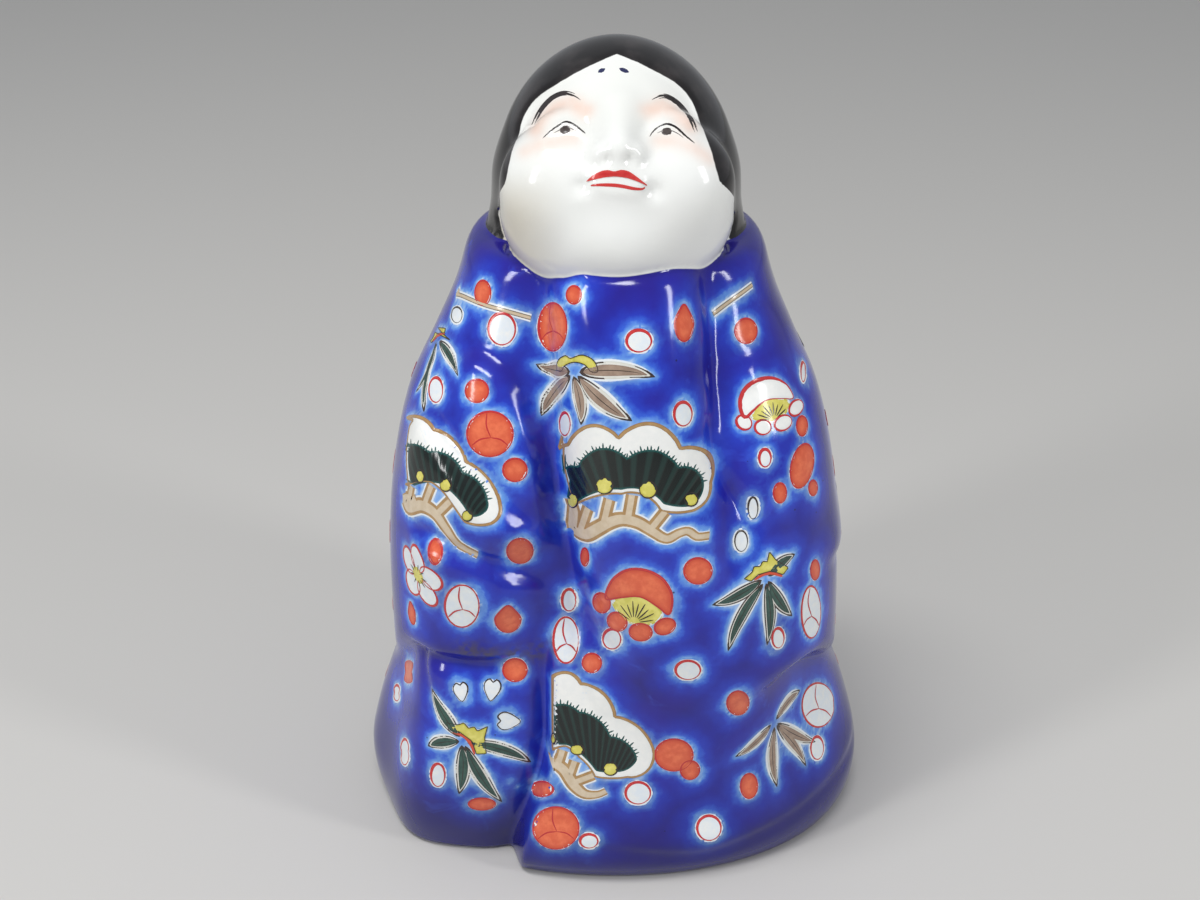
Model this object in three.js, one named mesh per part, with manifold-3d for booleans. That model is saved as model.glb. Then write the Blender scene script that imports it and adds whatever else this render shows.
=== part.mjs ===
// A glazed porcelain otafuku figurine: a kneeling woman in a padded robe, her sleeves
// raised under her chin and her round face turned up. It is cast in one piece and
// stands on its flat underside.
//
// Millimetres, +Z up. She faces -Y, and the origin is under her, at the centre of the base.
//
// The figure is one implicit form: a function that is negative inside the porcelain and
// close to the distance from its surface. Lofted columns make the robe, ellipsoids make
// the head, and folds are raised or sunk along curves on the robe. The surface is then
// traced on a grid that is finer round the face, and cut flat underneath.

import * as THREE from "three";
import { mergeVertices } from "three/addons/utils/BufferGeometryUtils.js";
import Module from "manifold-3d";

// Driving dimensions
const HEAD_CENTRE = { y: -4, z: 126 };
const FACE_TILT = THREE.MathUtils.degToRad(29); // how far the face looks up
const HAIR_RELIEF = 0.9; // how far the hair stands over the forehead
const COLLAR_TOP = 114.5;
const SLEEVE_TOP = 117.5;
const SLEEVE_END = 25; // where the raised front sleeve has run into the skirt
// Lower edges of the two side sleeves, which hang low at the sides and lift towards the front
const LEFT_HEM = { low: 27, high: 44.5, depth: 27 };
const RIGHT_HEM = { low: 29, high: 44, depth: 30 };
const KNEE_TOP = 45;
const CREASE = 2.4; // how rounded the bottom of a deep crease is
const CUT_ALLOWANCE = 5; // how far the form runs on below the base before it is cut flat
const CUT_CLEARANCE = 0.5;
const FOLD_STEPS = 18;
const FOLD_TAPER = 9; // length over which a fold dies away at each end
const GIRTH_RADIUS = 36; // a mean radius of the robe, which turns angles round it into lengths
const PORCELAIN = { color: 0x1b2fb0, roughness: 0.12, metalness: 0 };

const { clamp, lerp, smoothstep } = THREE.MathUtils;

function smoothMin(a, b, reach) {
  const h = Math.max(reach - Math.abs(a - b), 0) / reach;
  return Math.min(a, b) - (h * h * reach) / 4;
}

function smoothMax(a, b, reach) {
  return -smoothMin(-a, -b, reach);
}

// The rows are levels, each a height and then the sizes there. The result gives the sizes at any height.
function loft(rows) {
  const last = rows.length - 1;
  const slope = (i, c) => {
    const low = rows[Math.max(i - 1, 0)];
    const high = rows[Math.min(i + 1, last)];
    return (high[c] - low[c]) / (high[0] - low[0]);
  };
  return (z) => {
    const at = clamp(z, rows[0][0], rows[last][0]);
    let i = 0;
    while (i < last - 1 && at > rows[i + 1][0]) i += 1;
    const step = rows[i + 1][0] - rows[i][0];
    const t = (at - rows[i][0]) / step;
    const sizes = [];
    for (let c = 1; c < rows[i].length; c += 1) {
      const a = rows[i][c];
      const b = rows[i + 1][c];
      const startSlope = slope(i, c) * step;
      const endSlope = slope(i + 1, c) * step;
      const t2 = t * t;
      const t3 = t2 * t;
      sizes.push(
        (2 * t3 - 3 * t2 + 1) * a +
          (t3 - 2 * t2 + t) * startSlope +
          (3 * t2 - 2 * t3) * b +
          (t3 - t2) * endSlope,
      );
    }
    return sizes;
  };
}

// Distance from a column whose level is a rounded oblong: centre, half width, and reach to front and back.
function column(x, y, sizes, power) {
  const [cx, cy, halfWidth, front, back] = sizes;
  const depth = y < cy ? front : back;
  const u = Math.abs(x - cx) / halfWidth;
  const v = Math.abs(y - cy) / depth;
  const q = Math.max(Math.pow(Math.pow(u, power) + Math.pow(v, power), 1 / power), 1e-3);
  const slope = Math.hypot(
    Math.pow(u / q, power - 1) / halfWidth,
    Math.pow(v / q, power - 1) / depth,
  );
  return (q - 1) / slope;
}

function ellipsoid(x, y, z, rx, ry, rz) {
  const near = Math.hypot(x / rx, y / ry, z / rz);
  const slope = Math.hypot(x / (rx * rx), y / (ry * ry), z / (rz * rz));
  return slope < 1e-6 ? -Math.min(rx, ry, rz) : (near * (near - 1)) / slope;
}

function capsule(p, a, b, startRadius, endRadius) {
  const along = [0, 1, 2].map((i) => b[i] - a[i]);
  const from = [0, 1, 2].map((i) => p[i] - a[i]);
  const dot = (m, n) => m[0] * n[0] + m[1] * n[1] + m[2] * n[2];
  const t = clamp(dot(from, along) / dot(along, along), 0, 1);
  const off = [0, 1, 2].map((i) => from[i] - t * along[i]);
  return Math.hypot(...off) - lerp(startRadius, endRadius, t);
}

// Levels of the robe: z, centre x, centre y, half width, front, back.
const torso = loft([
  [20, 0, 0, 37, 29, 34],
  [45, 0, 0, 37, 29, 34.5],
  [65, 0, 0, 36, 28.5, 34],
  [85, 0, 0, 32.5, 26.5, 31],
  [100, 0, 0, 27, 24, 27],
  [108, 0, 0, 24.5, 22.5, 25],
  [116, 0, 0, 23, 21, 24],
]);
const rightArm = loft([
  [24, 24, -4, 17.6, 27, 24],
  [40, 23.5, -5, 18.4, 27.5, 24],
  [60, 22.5, -6, 18.4, 27, 24],
  [75, 21.5, -6, 17.8, 25.5, 23],
  [88, 20, -5, 16.2, 23.5, 21],
  [98, 18, -3, 13.6, 21, 18],
  [106, 16.5, -1, 11.4, 18.5, 16],
  [116, 15.5, 0, 9.2, 16, 15],
]);
const leftArm = loft([
  [20, -24, -4, 17.6, 25, 24],
  [40, -24, -5, 18, 25.5, 24],
  [60, -23, -6, 18.6, 25.5, 24],
  [75, -22, -6, 18, 24.5, 23],
  [88, -20.5, -5, 16.4, 22.5, 21],
  [98, -18.5, -3, 13.6, 20.5, 18],
  [106, -16.8, -1, 11.4, 18.5, 16],
  [116, -15.5, 0, 9.4, 16, 15],
]);
const sleeve = loft([
  [22, 17, -14, 12, 17.5, 12],
  [34, 15, -14, 15, 20.4, 14],
  [48, 12, -14, 17.2, 23.8, 14],
  [60, 10.2, -14, 17.8, 25.2, 14],
  [72, 7.4, -14, 17, 24.8, 14],
  [84, 4.8, -13, 15.6, 24.2, 14],
  [96, 3, -12, 14.8, 23, 14],
  [108, 1.7, -11, 14.2, 20.6, 14],
  [118, 1, -10, 13.6, 17.2, 12],
]);
const skirt = loft([
  [-6, 0, 0, 45, 32, 34.5],
  [0, 0, 0, 47, 35.4, 37],
  [4, 0, 0, 48.3, 37.6, 38.4],
  [9, 0, 0, 48.6, 38.2, 38.8],
  [14, 0, 0, 47.6, 37.2, 37.8],
  [22, 0, 0, 45.2, 36, 36.4],
  [32, 0, 0, 41.4, 34.6, 34.8],
  [44, 0, 0, 37, 33, 33.2],
  [56, 0, 0, 33.4, 30, 31],
]);
const knee = loft([
  [-6, -25, -10, 15, 14, 10],
  [0, -26, -10, 16, 16.6, 12],
  [8, -26, -10, 16.6, 19.4, 14],
  [20, -25, -10, 16, 21.4, 14],
  [34, -23.6, -10, 14.6, 21.4, 14],
  [46, -22.6, -10, 13.2, 19.8, 12],
]);
const hairFall = loft([
  [104, 0, 2, 22.6, 15, 20],
  [114, 0, 2, 22.8, 16, 19.6],
  [121, 0, 2, 21.6, 16, 20],
  [128, 0, 1, 20.4, 17, 20.4],
  [136, 0, 0, 17.6, 16, 19],
]);

// Kinds of fold. rise lifts the cloth on one side of the fold's line, fading over reach. groove
// sinks the line itself, and width is how soft the line is.
const LAP = { rise: 2.1, reach: 19, groove: 0.9, width: 1.4 };
const TUCK = { rise: 0.6, reach: 8, groove: 0.7, width: 1.4 };
const ELBOW = { rise: 1, reach: 14, groove: 0.4, width: 2.4 };
const ROLL = { rise: 0.5, reach: 9, groove: 0.4, width: 1.6 };
const DRAPE = { rise: 1.3, reach: 17, groove: 0.4, width: 2.8 };

// Two folds that hang from each shoulder round the back
const backFolds = [
  [[156, 54], [138, 64], [122, 78], [106, 98]],
  [[150, 32], [132, 40], [116, 52], [100, 68]],
];
const mirrored = (path) => path.map(([turn, z]) => [-turn, z]).reverse();

// Folds of the cloth: a kind, then the points it runs through on the robe, each as
// [degrees round from the front, height]. The cloth on the left of the way it runs is lifted.
const folds = [
  // Three laps of the sleeve on -X, drawn up towards the hands
  [LAP, [[-19, 66], [-21, 74], [-25, 86], [-31, 94], [-39, 99], [-49, 101], [-60, 99]]],
  [LAP, [[-19, 69], [-28, 75.5], [-35, 80], [-44, 85], [-54, 89], [-66, 91]]],
  [LAP, [[-18, 57], [-30, 64], [-38, 67.5], [-47, 69.5], [-60, 69]]],
  // The outer corner of the knee, and a tuck beside the front sleeve
  [TUCK, [[-60, 46], [-53, 41], [-49, 35], [-47, 27]]],
  [TUCK, [[-18, 76], [-14, 58], [-10.5, 46], [-6, 32]]],
  // The tuck of the front sleeve on +X, two wrinkles of the sleeve behind it, and its elbow
  [TUCK, [[27, 96], [28, 88], [30, 83], [34, 78], [42, 71]]],
  [TUCK, [[33, 101], [42, 101], [53, 102.5]]],
  [TUCK, [[32, 95], [41, 95.5], [53, 97.5]]],
  [ELBOW, [[50, 66], [64, 60], [80, 59], [100, 66]]],
  // The rolled rim of the hem
  [ROLL, [[-14, 10], [0, 9], [12, 7.5], [25, 6.5], [38, 8], [50, 9.5], [68, 11.5], [92, 12]]],
  // The back
  ...backFolds.flatMap((path) => [[DRAPE, path], [DRAPE, mirrored(path)]]),
  [DRAPE, [[174, 100], [177, 82], [174, 64], [168, 44]]],
].map(([kind, path]) => ({ ...kind, points: foldCurve(path) }));

function foldCurve(path) {
  const points = path.map(
    ([turn, z]) => new THREE.Vector2(THREE.MathUtils.degToRad(turn) * GIRTH_RADIUS, z),
  );
  return new THREE.SplineCurve(points).getPoints(FOLD_STEPS);
}

// How far past an end of a fold a place on the unrolled robe lies, measured into the fold.
function pastEnd(end, next, at, z) {
  const way = next.clone().sub(end).normalize();
  return (at - end.x) * way.x + (z - end.y) * way.y;
}

// How far a fold lifts the surface at a place on the unrolled robe.
function foldLift({ points, rise, reach, groove, width }, along, z) {
  const girth = 2 * Math.PI * GIRTH_RADIUS;
  const at = along - girth * Math.round((along - points[0].x) / girth);
  const started = pastEnd(points[0], points[1], at, z);
  const left = pastEnd(points[FOLD_STEPS], points[FOLD_STEPS - 1], at, z);
  const strength = smoothstep(started, 0, FOLD_TAPER) * smoothstep(left, 0, FOLD_TAPER);
  if (strength === 0) return 0;

  let nearest = Infinity;
  let side = 1;
  for (let i = 0; i < FOLD_STEPS; i += 1) {
    const a = points[i];
    const b = points[i + 1];
    const wx = b.x - a.x;
    const wz = b.y - a.y;
    const t = clamp(((at - a.x) * wx + (z - a.y) * wz) / (wx * wx + wz * wz), 0, 1);
    const dx = at - a.x - t * wx;
    const dz = z - a.y - t * wz;
    const gap = Math.hypot(dx, dz);
    if (gap < nearest) {
      nearest = gap;
      side = wx * dz - wz * dx < 0 ? -1 : 1;
    }
  }
  const signed = nearest * side;
  const slack = clamp(1 - signed / reach, 0, 1);
  const step = smoothstep(signed, -width, width) * slack * slack * (3 - 2 * slack);
  const line = Math.exp(-((signed / width) ** 2));
  return strength * (rise * step - groove * line);
}

function sideSleeve(x, y, z, arm, edge) {
  const lowerEdge = lerp(edge.low, edge.high, smoothstep(-y, 0, edge.depth));
  const tube = smoothMax(column(x, y, arm(z), 2.2), z - COLLAR_TOP, 3);
  return smoothMax(tube, lowerEdge - z, 4);
}

// The front panel of the skirt laps over the panel on -X, with its edge at this x.
function lapEdge(z) {
  return lerp(-18.4, -11.6, smoothstep(z, 0, 30));
}

function lowerRobe(x, y, z) {
  const [cx, cy, halfWidth, front, back] = skirt(z);
  const edge = lapEdge(z);
  const shownFront = lerp(Math.min(front, 28.5), front, smoothstep(x, edge - 2, edge + 1.2));
  const hem = smoothMax(column(x, y, [cx, cy, halfWidth, shownFront, back], 2.1), z - 54, 8);
  const lap = smoothMax(column(x, y, knee(z), 3.2), z - KNEE_TOP, 5);
  return smoothMin(hem, lap, lerp(8, CREASE, smoothstep(x, -26, -18)));
}

function robe(x, y, z) {
  const collar = smoothMax(column(x, y, torso(z), 2.3), z - COLLAR_TOP, 3);
  const left = sideSleeve(x, y, z, leftArm, LEFT_HEM);
  const right = sideSleeve(x, y, z, rightArm, RIGHT_HEM);
  const topEdge = SLEEVE_TOP - 2 * smoothstep(-x, 5, 9) - smoothstep(x, 8, 15);
  const raised = smoothMax(column(x, y, sleeve(z), 2.5), z - topEdge, 3);
  const front = smoothMax(raised, SLEEVE_END - z, 8);

  // The sleeves part by sharp creases above, and run into each other and the skirt below
  const onRight = smoothstep(x, -2, 10);
  const crease = lerp(
    lerp(7, CREASE, smoothstep(z, 38, 54)),
    lerp(9, CREASE, smoothstep(z, 56, 80)),
    onRight,
  );
  let form = smoothMin(smoothMin(collar, left, 5), right, 5);
  form = smoothMin(form, lowerRobe(x, y, z), lerp(CREASE, 3.5, onRight));
  form = smoothMin(form, front, crease);
  const along = Math.atan2(x, -y) * GIRTH_RADIUS;
  for (const fold of folds) form -= foldLift(fold, along, z);
  return form;
}

// The head in its own frame: x across, u up the face, f out of the face.
function face(x, u, f) {
  const side = Math.abs(x);
  let form = ellipsoid(x, u - 2, f, 17.6, 21.4, 20);
  form = smoothMin(form, ellipsoid(x, u + 6.5, f - 4.5, 19.4, 15, 17), 5);
  form = smoothMin(form, ellipsoid(side - 9.2, u + 3, f - 13.2, 9.6, 8.8, 8.6), 4);
  form = smoothMin(form, ellipsoid(x, u + 4.5, f - 16.5, 7.5, 5.5, 6.8), 3);
  form = smoothMin(form, ellipsoid(x, u + 12, f - 13.5, 7, 6, 6), 4);
  form = smoothMin(form, ellipsoid(side - 8.1, u - 4.6, f - 16.6, 4.4, 2.8, 3), 2);
  form = smoothMin(form, capsule([x, u, f], [0, 7, 17.6], [0, 0.4, 22.8], 2, 2.3), 4);
  return smoothMin(form, ellipsoid(side - 2.5, u + 0.6, f - 22, 1.7, 1.6, 1.8), 1.2);
}

// The hair's outline round the face: negative inside the window that the face looks out of.
// It comes to a point at the parting, leans in towards the temples and opens round the cheeks.
function hairWindow(x, u, f) {
  const halfWidth = (x < 0 ? 17 - 0.215 * u : 14.9 - 0.27 * u) + 6 * smoothstep(-u, 4, 8);
  const brow = u - (17.3 - 0.5 * Math.abs(x));
  return Math.max(smoothMax(Math.abs(x) - halfWidth, brow, 3), -f - 2);
}

function hair(x, y, z, u, f) {
  const cap = ellipsoid(x, u - 0.5, f + 1.2, 20.4, 23.4, 22);
  const mane = smoothMin(cap, smoothMax(column(x, y, hairFall(z), 2.2), z - 134, 8), 3);
  return mane + HAIR_RELIEF * smoothstep(-hairWindow(x, u, f), -0.9, 0.9);
}

function head(x, y, z) {
  const dy = y - HEAD_CENTRE.y;
  const dz = z - HEAD_CENTRE.z;
  const u = dy * Math.sin(FACE_TILT) + dz * Math.cos(FACE_TILT);
  const f = dz * Math.sin(FACE_TILT) - dy * Math.cos(FACE_TILT);
  return smoothMin(face(x, u, f), hair(x, y, z, u, f), 0.8);
}

// The form ends a little below the base, where it is then cut flat.
function figure(x, y, z) {
  return Math.max(smoothMin(robe(x, y, z), head(x, y, z), 0.8), -CUT_ALLOWANCE - z);
}

// Grid lines from low to high, whose spacing goes from coarse to fine inside the fine stretch.
function gridLines(low, high, coarse, fine, fineFrom, fineTo) {
  const lines = [low];
  while (lines[lines.length - 1] < high) {
    const at = lines[lines.length - 1];
    const outside = Math.max(fineFrom - at, at - fineTo, 0);
    lines.push(at + lerp(fine, coarse, smoothstep(outside, 0, 8)));
  }
  return lines;
}

// Surface nets: one vertex in each cell that the surface crosses, and one quad across each
// grid edge that it crosses.
function traceSurface(form, xs, ys, zs) {
  const [nx, ny, nz] = [xs.length, ys.length, zs.length];
  const index = (i, j, k) => (k * ny + j) * nx + i;
  const values = new Float64Array(nx * ny * nz);
  for (let k = 0; k < nz; k += 1)
    for (let j = 0; j < ny; j += 1)
      for (let i = 0; i < nx; i += 1) values[index(i, j, k)] = form(xs[i], ys[j], zs[k]);

  const vertexOf = new Map();
  const positions = [];
  const corners = [0, 1, 2, 3, 4, 5, 6, 7].map((c) => [c & 1, (c >> 1) & 1, c >> 2]);
  for (let k = 0; k < nz - 1; k += 1)
    for (let j = 0; j < ny - 1; j += 1)
      for (let i = 0; i < nx - 1; i += 1) {
        const found = new THREE.Vector3();
        let crossings = 0;
        for (let a = 0; a < 8; a += 1)
          for (let axis = 0; axis < 3; axis += 1) {
            const b = a | (1 << axis);
            if (b === a) continue;
            const [ai, aj, ak] = corners[a];
            const [bi, bj, bk] = corners[b];
            const va = values[index(i + ai, j + aj, k + ak)];
            const vb = values[index(i + bi, j + bj, k + bk)];
            if (va < 0 === vb < 0) continue;
            const t = va / (va - vb);
            found.x += lerp(xs[i + ai], xs[i + bi], t);
            found.y += lerp(ys[j + aj], ys[j + bj], t);
            found.z += lerp(zs[k + ak], zs[k + bk], t);
            crossings += 1;
          }
        if (!crossings) continue;
        vertexOf.set(index(i, j, k), positions.length);
        positions.push(found.divideScalar(crossings));
      }

  const triangles = [];
  const quad = (a, b, c, d, outward) => {
    const [p, q, r, s] = [a, b, c, d].map((cell) => vertexOf.get(cell));
    const ring = outward ? [p, q, r, s] : [s, r, q, p];
    const shortFirst =
      positions[ring[0]].distanceTo(positions[ring[2]]) <
      positions[ring[1]].distanceTo(positions[ring[3]]);
    if (shortFirst) triangles.push(ring[0], ring[1], ring[2], ring[0], ring[2], ring[3]);
    else triangles.push(ring[1], ring[2], ring[3], ring[1], ring[3], ring[0]);
  };
  for (let k = 1; k < nz - 1; k += 1)
    for (let j = 1; j < ny - 1; j += 1)
      for (let i = 1; i < nx - 1; i += 1) {
        const inside = values[index(i, j, k)] < 0;
        if (inside !== values[index(i + 1, j, k)] < 0)
          quad(index(i, j - 1, k - 1), index(i, j, k - 1), index(i, j, k), index(i, j - 1, k), inside);
        if (inside !== values[index(i, j + 1, k)] < 0)
          quad(index(i - 1, j, k - 1), index(i - 1, j, k), index(i, j, k), index(i, j, k - 1), inside);
        if (inside !== values[index(i, j, k + 1)] < 0)
          quad(index(i - 1, j - 1, k), index(i, j - 1, k), index(i, j, k), index(i - 1, j, k), inside);
      }
  return { positions, triangles };
}

// Draws each vertex onto the true surface, along the slope of the form.
function settle(form, positions, rounds) {
  const eps = 0.05;
  for (let round = 0; round < rounds; round += 1)
    for (const p of positions) {
      const value = form(p.x, p.y, p.z);
      const slope = new THREE.Vector3(
        form(p.x + eps, p.y, p.z) - form(p.x - eps, p.y, p.z),
        form(p.x, p.y + eps, p.z) - form(p.x, p.y - eps, p.z),
        form(p.x, p.y, p.z + eps) - form(p.x, p.y, p.z - eps),
      ).divideScalar(2 * eps);
      const move = clamp(value / Math.max(slope.lengthSq(), 0.25), -0.6, 0.6);
      p.addScaledVector(slope, -move);
    }
}

function toGeometry(positions, triangles) {
  const flat = new Float32Array(positions.flatMap((p) => [p.x, p.y, p.z]));
  const geometry = new THREE.BufferGeometry();
  geometry.setAttribute("position", new THREE.BufferAttribute(flat, 3));
  geometry.setIndex(triangles);
  return geometry;
}

const wasm = await Module();
wasm.setup();

function toSolid(geometry) {
  const bare = new THREE.BufferGeometry();
  bare.setAttribute("position", geometry.getAttribute("position"));
  if (geometry.index) bare.setIndex(geometry.index);
  const merged = mergeVertices(bare, 1e-4);
  return new wasm.Manifold(
    new wasm.Mesh({
      numProp: 3,
      vertProperties: new Float32Array(merged.attributes.position.array),
      triVerts: new Uint32Array(merged.index.array),
    }),
  );
}

function fromSolid(solid) {
  const mesh = solid.getMesh();
  const geometry = new THREE.BufferGeometry();
  geometry.setAttribute("position", new THREE.BufferAttribute(mesh.vertProperties, 3));
  geometry.setIndex(new THREE.BufferAttribute(mesh.triVerts, 1));
  geometry.computeVertexNormals();
  return geometry;
}

function figurine() {
  const xs = gridLines(-56, 56, 3.6, 2.9, -20, 20);
  const ys = gridLines(-46, 46, 3.6, 2.8, -40, -14);
  const zs = gridLines(-10, 156, 3.6, 2.3, 116, 146);
  const { positions, triangles } = traceSurface(figure, xs, ys, zs);
  settle(figure, positions, 4);
  // No vertex is left so near the cut that it would leave slivers
  for (const p of positions) if (Math.abs(p.z) < CUT_CLEARANCE) p.z = -CUT_CLEARANCE;
  const below = new THREE.BoxGeometry(160, 160, 40).translate(0, 0, -20);
  const solid = toSolid(toGeometry(positions, triangles)).subtract(toSolid(below));
  const mesh = new THREE.Mesh(fromSolid(solid), new THREE.MeshStandardMaterial(PORCELAIN));
  mesh.name = "otafuku_figurine";
  return mesh;
}

const part = new THREE.Group();
part.add(figurine());

export default part;
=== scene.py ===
# A glazed porcelain otafuku figurine, kneeling in a robe painted with plum, pine and bamboo.
#
# The porcelain body is one implicit form, traced finely. Its glazes are told apart by measured
# distances kept on the mesh. The enamels of the pattern are thin raised layers on top of it.
# All sizes are in millimetres until the meshes are made. She faces -Y, and +Z is up.

import math

import bpy
import numpy as np
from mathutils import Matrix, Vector, geometry
from mathutils.bvhtree import BVHTree
from mathutils.kdtree import KDTree


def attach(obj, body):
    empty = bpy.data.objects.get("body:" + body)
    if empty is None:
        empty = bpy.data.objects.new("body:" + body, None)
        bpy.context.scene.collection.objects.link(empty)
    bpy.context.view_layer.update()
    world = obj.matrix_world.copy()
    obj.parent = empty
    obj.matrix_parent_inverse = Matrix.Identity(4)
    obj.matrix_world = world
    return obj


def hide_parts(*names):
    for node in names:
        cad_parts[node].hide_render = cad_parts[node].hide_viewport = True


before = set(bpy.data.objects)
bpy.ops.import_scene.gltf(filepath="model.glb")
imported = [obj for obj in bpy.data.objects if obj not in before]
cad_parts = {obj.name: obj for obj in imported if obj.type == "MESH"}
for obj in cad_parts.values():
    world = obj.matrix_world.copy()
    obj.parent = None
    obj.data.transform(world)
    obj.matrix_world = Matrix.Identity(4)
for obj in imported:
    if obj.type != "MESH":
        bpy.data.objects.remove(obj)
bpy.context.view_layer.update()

MM = 0.001
NODE = "otafuku_figurine"
BODY = "root"

# The form's driving dimensions
HEAD_Y, HEAD_Z = -4.0, 126.0
FACE_TILT = math.radians(29)
HAIR_RELIEF = 0.9
COLLAR_TOP = 114.5
SLEEVE_TOP = 117.5
SLEEVE_END = 25.0
LEFT_HEM = (27.0, 44.5, 27.0)
RIGHT_HEM = (29.0, 44.0, 30.0)
KNEE_TOP = 45.0
CREASE = 1.8
HEAD_JOIN = 0.8
FOOT_ROUNDING = 1.2
GIRTH_RADIUS = 36.0
FOLD_STEPS = 18
FOLD_TAPER = 9.0

# The camera, in millimetres and in pixels of a picture of 1200 by 900
PICTURE = (1200, 900)
CAMERA_AT = np.array([-2.8, -281.0, 218.0])
CAMERA_PITCH = math.radians(27.5)
FOCAL_PIXELS = 1700.0
PIXELS_PER_MM = 5.5

# The stage, in metres
FLOOR_HALF = 1.5
LIGHT_TARGET = (0, 0, 0.08)


def smoothstep(x, low, high):
    t = np.clip((x - low) / (high - low), 0, 1)
    return t * t * (3 - 2 * t)


def lerp(a, b, t):
    return a + (b - a) * t


def smooth_min(a, b, reach):
    h = np.maximum(reach - np.abs(a - b), 0) / reach
    return np.minimum(a, b) - h * h * reach / 4


def smooth_max(a, b, reach):
    return -smooth_min(-a, -b, reach)


def loft(rows):
    """The rows are levels, each a height and then the sizes there. Gives the sizes at any height."""
    table = np.array(rows, float)
    z = table[:, 0]
    low = table[np.maximum(np.arange(len(z)) - 1, 0)]
    high = table[np.minimum(np.arange(len(z)) + 1, len(z) - 1)]
    slopes = (high - low) / (high[:, :1] - low[:, :1])

    def sizes(at):
        at = np.clip(at, z[0], z[-1])
        i = np.clip(np.searchsorted(z, at, side="right") - 1, 0, len(z) - 2)
        step = z[i + 1] - z[i]
        t = (at - z[i]) / step
        t2 = t * t
        t3 = t2 * t
        return [
            (2 * t3 - 3 * t2 + 1) * table[i, c]
            + (t3 - 2 * t2 + t) * slopes[i, c] * step
            + (3 * t2 - 2 * t3) * table[i + 1, c]
            + (t3 - t2) * slopes[i + 1, c] * step
            for c in range(1, table.shape[1])
        ]

    return sizes


def column(x, y, sizes, power):
    """Distance from a column whose level is a rounded oblong."""
    cx, cy, half_width, front, back = sizes
    depth = np.where(y < cy, front, back)
    u = np.abs(x - cx) / half_width
    v = np.abs(y - cy) / depth
    q = np.maximum((u**power + v**power) ** (1 / power), 1e-3)
    slope = np.hypot((u / q) ** (power - 1) / half_width, (v / q) ** (power - 1) / depth)
    return (q - 1) / slope


def ellipsoid(x, y, z, rx, ry, rz):
    near = np.sqrt((x / rx) ** 2 + (y / ry) ** 2 + (z / rz) ** 2)
    slope = np.sqrt((x / rx**2) ** 2 + (y / ry**2) ** 2 + (z / rz**2) ** 2)
    return near * (near - 1) / np.maximum(slope, 1e-6)


def capsule(x, y, z, a, b, start_radius, end_radius):
    along = np.subtract(b, a)
    t = ((x - a[0]) * along[0] + (y - a[1]) * along[1] + (z - a[2]) * along[2]) / (along @ along)
    t = np.clip(t, 0, 1)
    gaps = [p - (a[i] + t * along[i]) for i, p in enumerate((x, y, z))]
    return np.sqrt(gaps[0] ** 2 + gaps[1] ** 2 + gaps[2] ** 2) - lerp(start_radius, end_radius, t)


# Levels of the robe: z, centre x, centre y, half width, front, back
torso = loft([
    (20, 0, 0, 37, 29, 34),
    (45, 0, 0, 37, 29, 34.5),
    (65, 0, 0, 36, 28.5, 34),
    (85, 0, 0, 32.5, 26.5, 31),
    (100, 0, 0, 27, 24, 27),
    (108, 0, 0, 24.5, 22.5, 25),
    (116, 0, 0, 23, 21, 24),
])
right_arm = loft([
    (24, 24, -4, 17.6, 27, 24),
    (40, 23.5, -5, 18.4, 27.5, 24),
    (60, 22.5, -6, 18.4, 27, 24),
    (75, 21.5, -6, 17.8, 25.5, 23),
    (88, 20, -5, 16.2, 23.5, 21),
    (98, 18, -3, 13.6, 21, 18),
    (106, 16.5, -1, 11.4, 18.5, 16),
    (116, 15.5, 0, 9.2, 16, 15),
])
left_arm = loft([
    (20, -24, -4, 17.6, 25, 24),
    (40, -24, -5, 18, 25.5, 24),
    (60, -23, -6, 18.6, 25.5, 24),
    (75, -22, -6, 18, 24.5, 23),
    (88, -20.5, -5, 16.4, 22.5, 21),
    (98, -18.5, -3, 13.6, 20.5, 18),
    (106, -16.8, -1, 11.4, 18.5, 16),
    (116, -15.5, 0, 9.4, 16, 15),
])
sleeve = loft([
    (22, 17, -14, 12, 17.5, 12),
    (34, 15, -14, 15, 20.4, 14),
    (48, 12, -14, 17.2, 23.8, 14),
    (60, 10.2, -14, 17.8, 25.2, 14),
    (72, 7.4, -14, 17, 24.8, 14),
    (84, 4.8, -13, 15.6, 24.2, 14),
    (96, 3, -12, 14.8, 23, 14),
    (108, 1.7, -11, 14.2, 20.6, 14),
    (118, 1, -10, 13.6, 17.2, 12),
])
skirt = loft([
    (-6, 0, 0, 45, 32, 34.5),
    (0, 0, 0, 47, 35.4, 37),
    (4, 0, 0, 48.3, 37.6, 38.4),
    (9, 0, 0, 48.6, 38.2, 38.8),
    (14, 0, 0, 47.6, 37.2, 37.8),
    (22, 0, 0, 45.2, 36, 36.4),
    (32, 0, 0, 41.4, 34.6, 34.8),
    (44, 0, 0, 37, 33, 33.2),
    (56, 0, 0, 33.4, 30, 31),
])
knee = loft([
    (-6, -25, -10, 15, 14, 10),
    (0, -26, -10, 16, 16.6, 12),
    (8, -26, -10, 16.6, 19.4, 14),
    (20, -25, -10, 16, 21.4, 14),
    (34, -23.6, -10, 14.6, 21.4, 14),
    (46, -22.6, -10, 13.2, 19.8, 12),
])
hair_fall = loft([
    (104, 0, 2, 22.6, 15, 20),
    (114, 0, 2, 22.8, 16, 19.6),
    (121, 0, 2, 21.6, 16, 20),
    (128, 0, 1, 20.4, 17, 20.4),
    (136, 0, 0, 17.6, 16, 19),
])

# Kinds of fold: how far the cloth is lifted, over what reach, the depth of the line and its softness
LAP = (2.1, 19, 0.9, 1.4)
TUCK = (0.6, 8, 0.7, 1.4)
ELBOW = (1.0, 14, 0.4, 2.4)
ROLL = (0.5, 9, 0.4, 1.6)
DRAPE = (1.3, 17, 0.4, 2.8)


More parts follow.
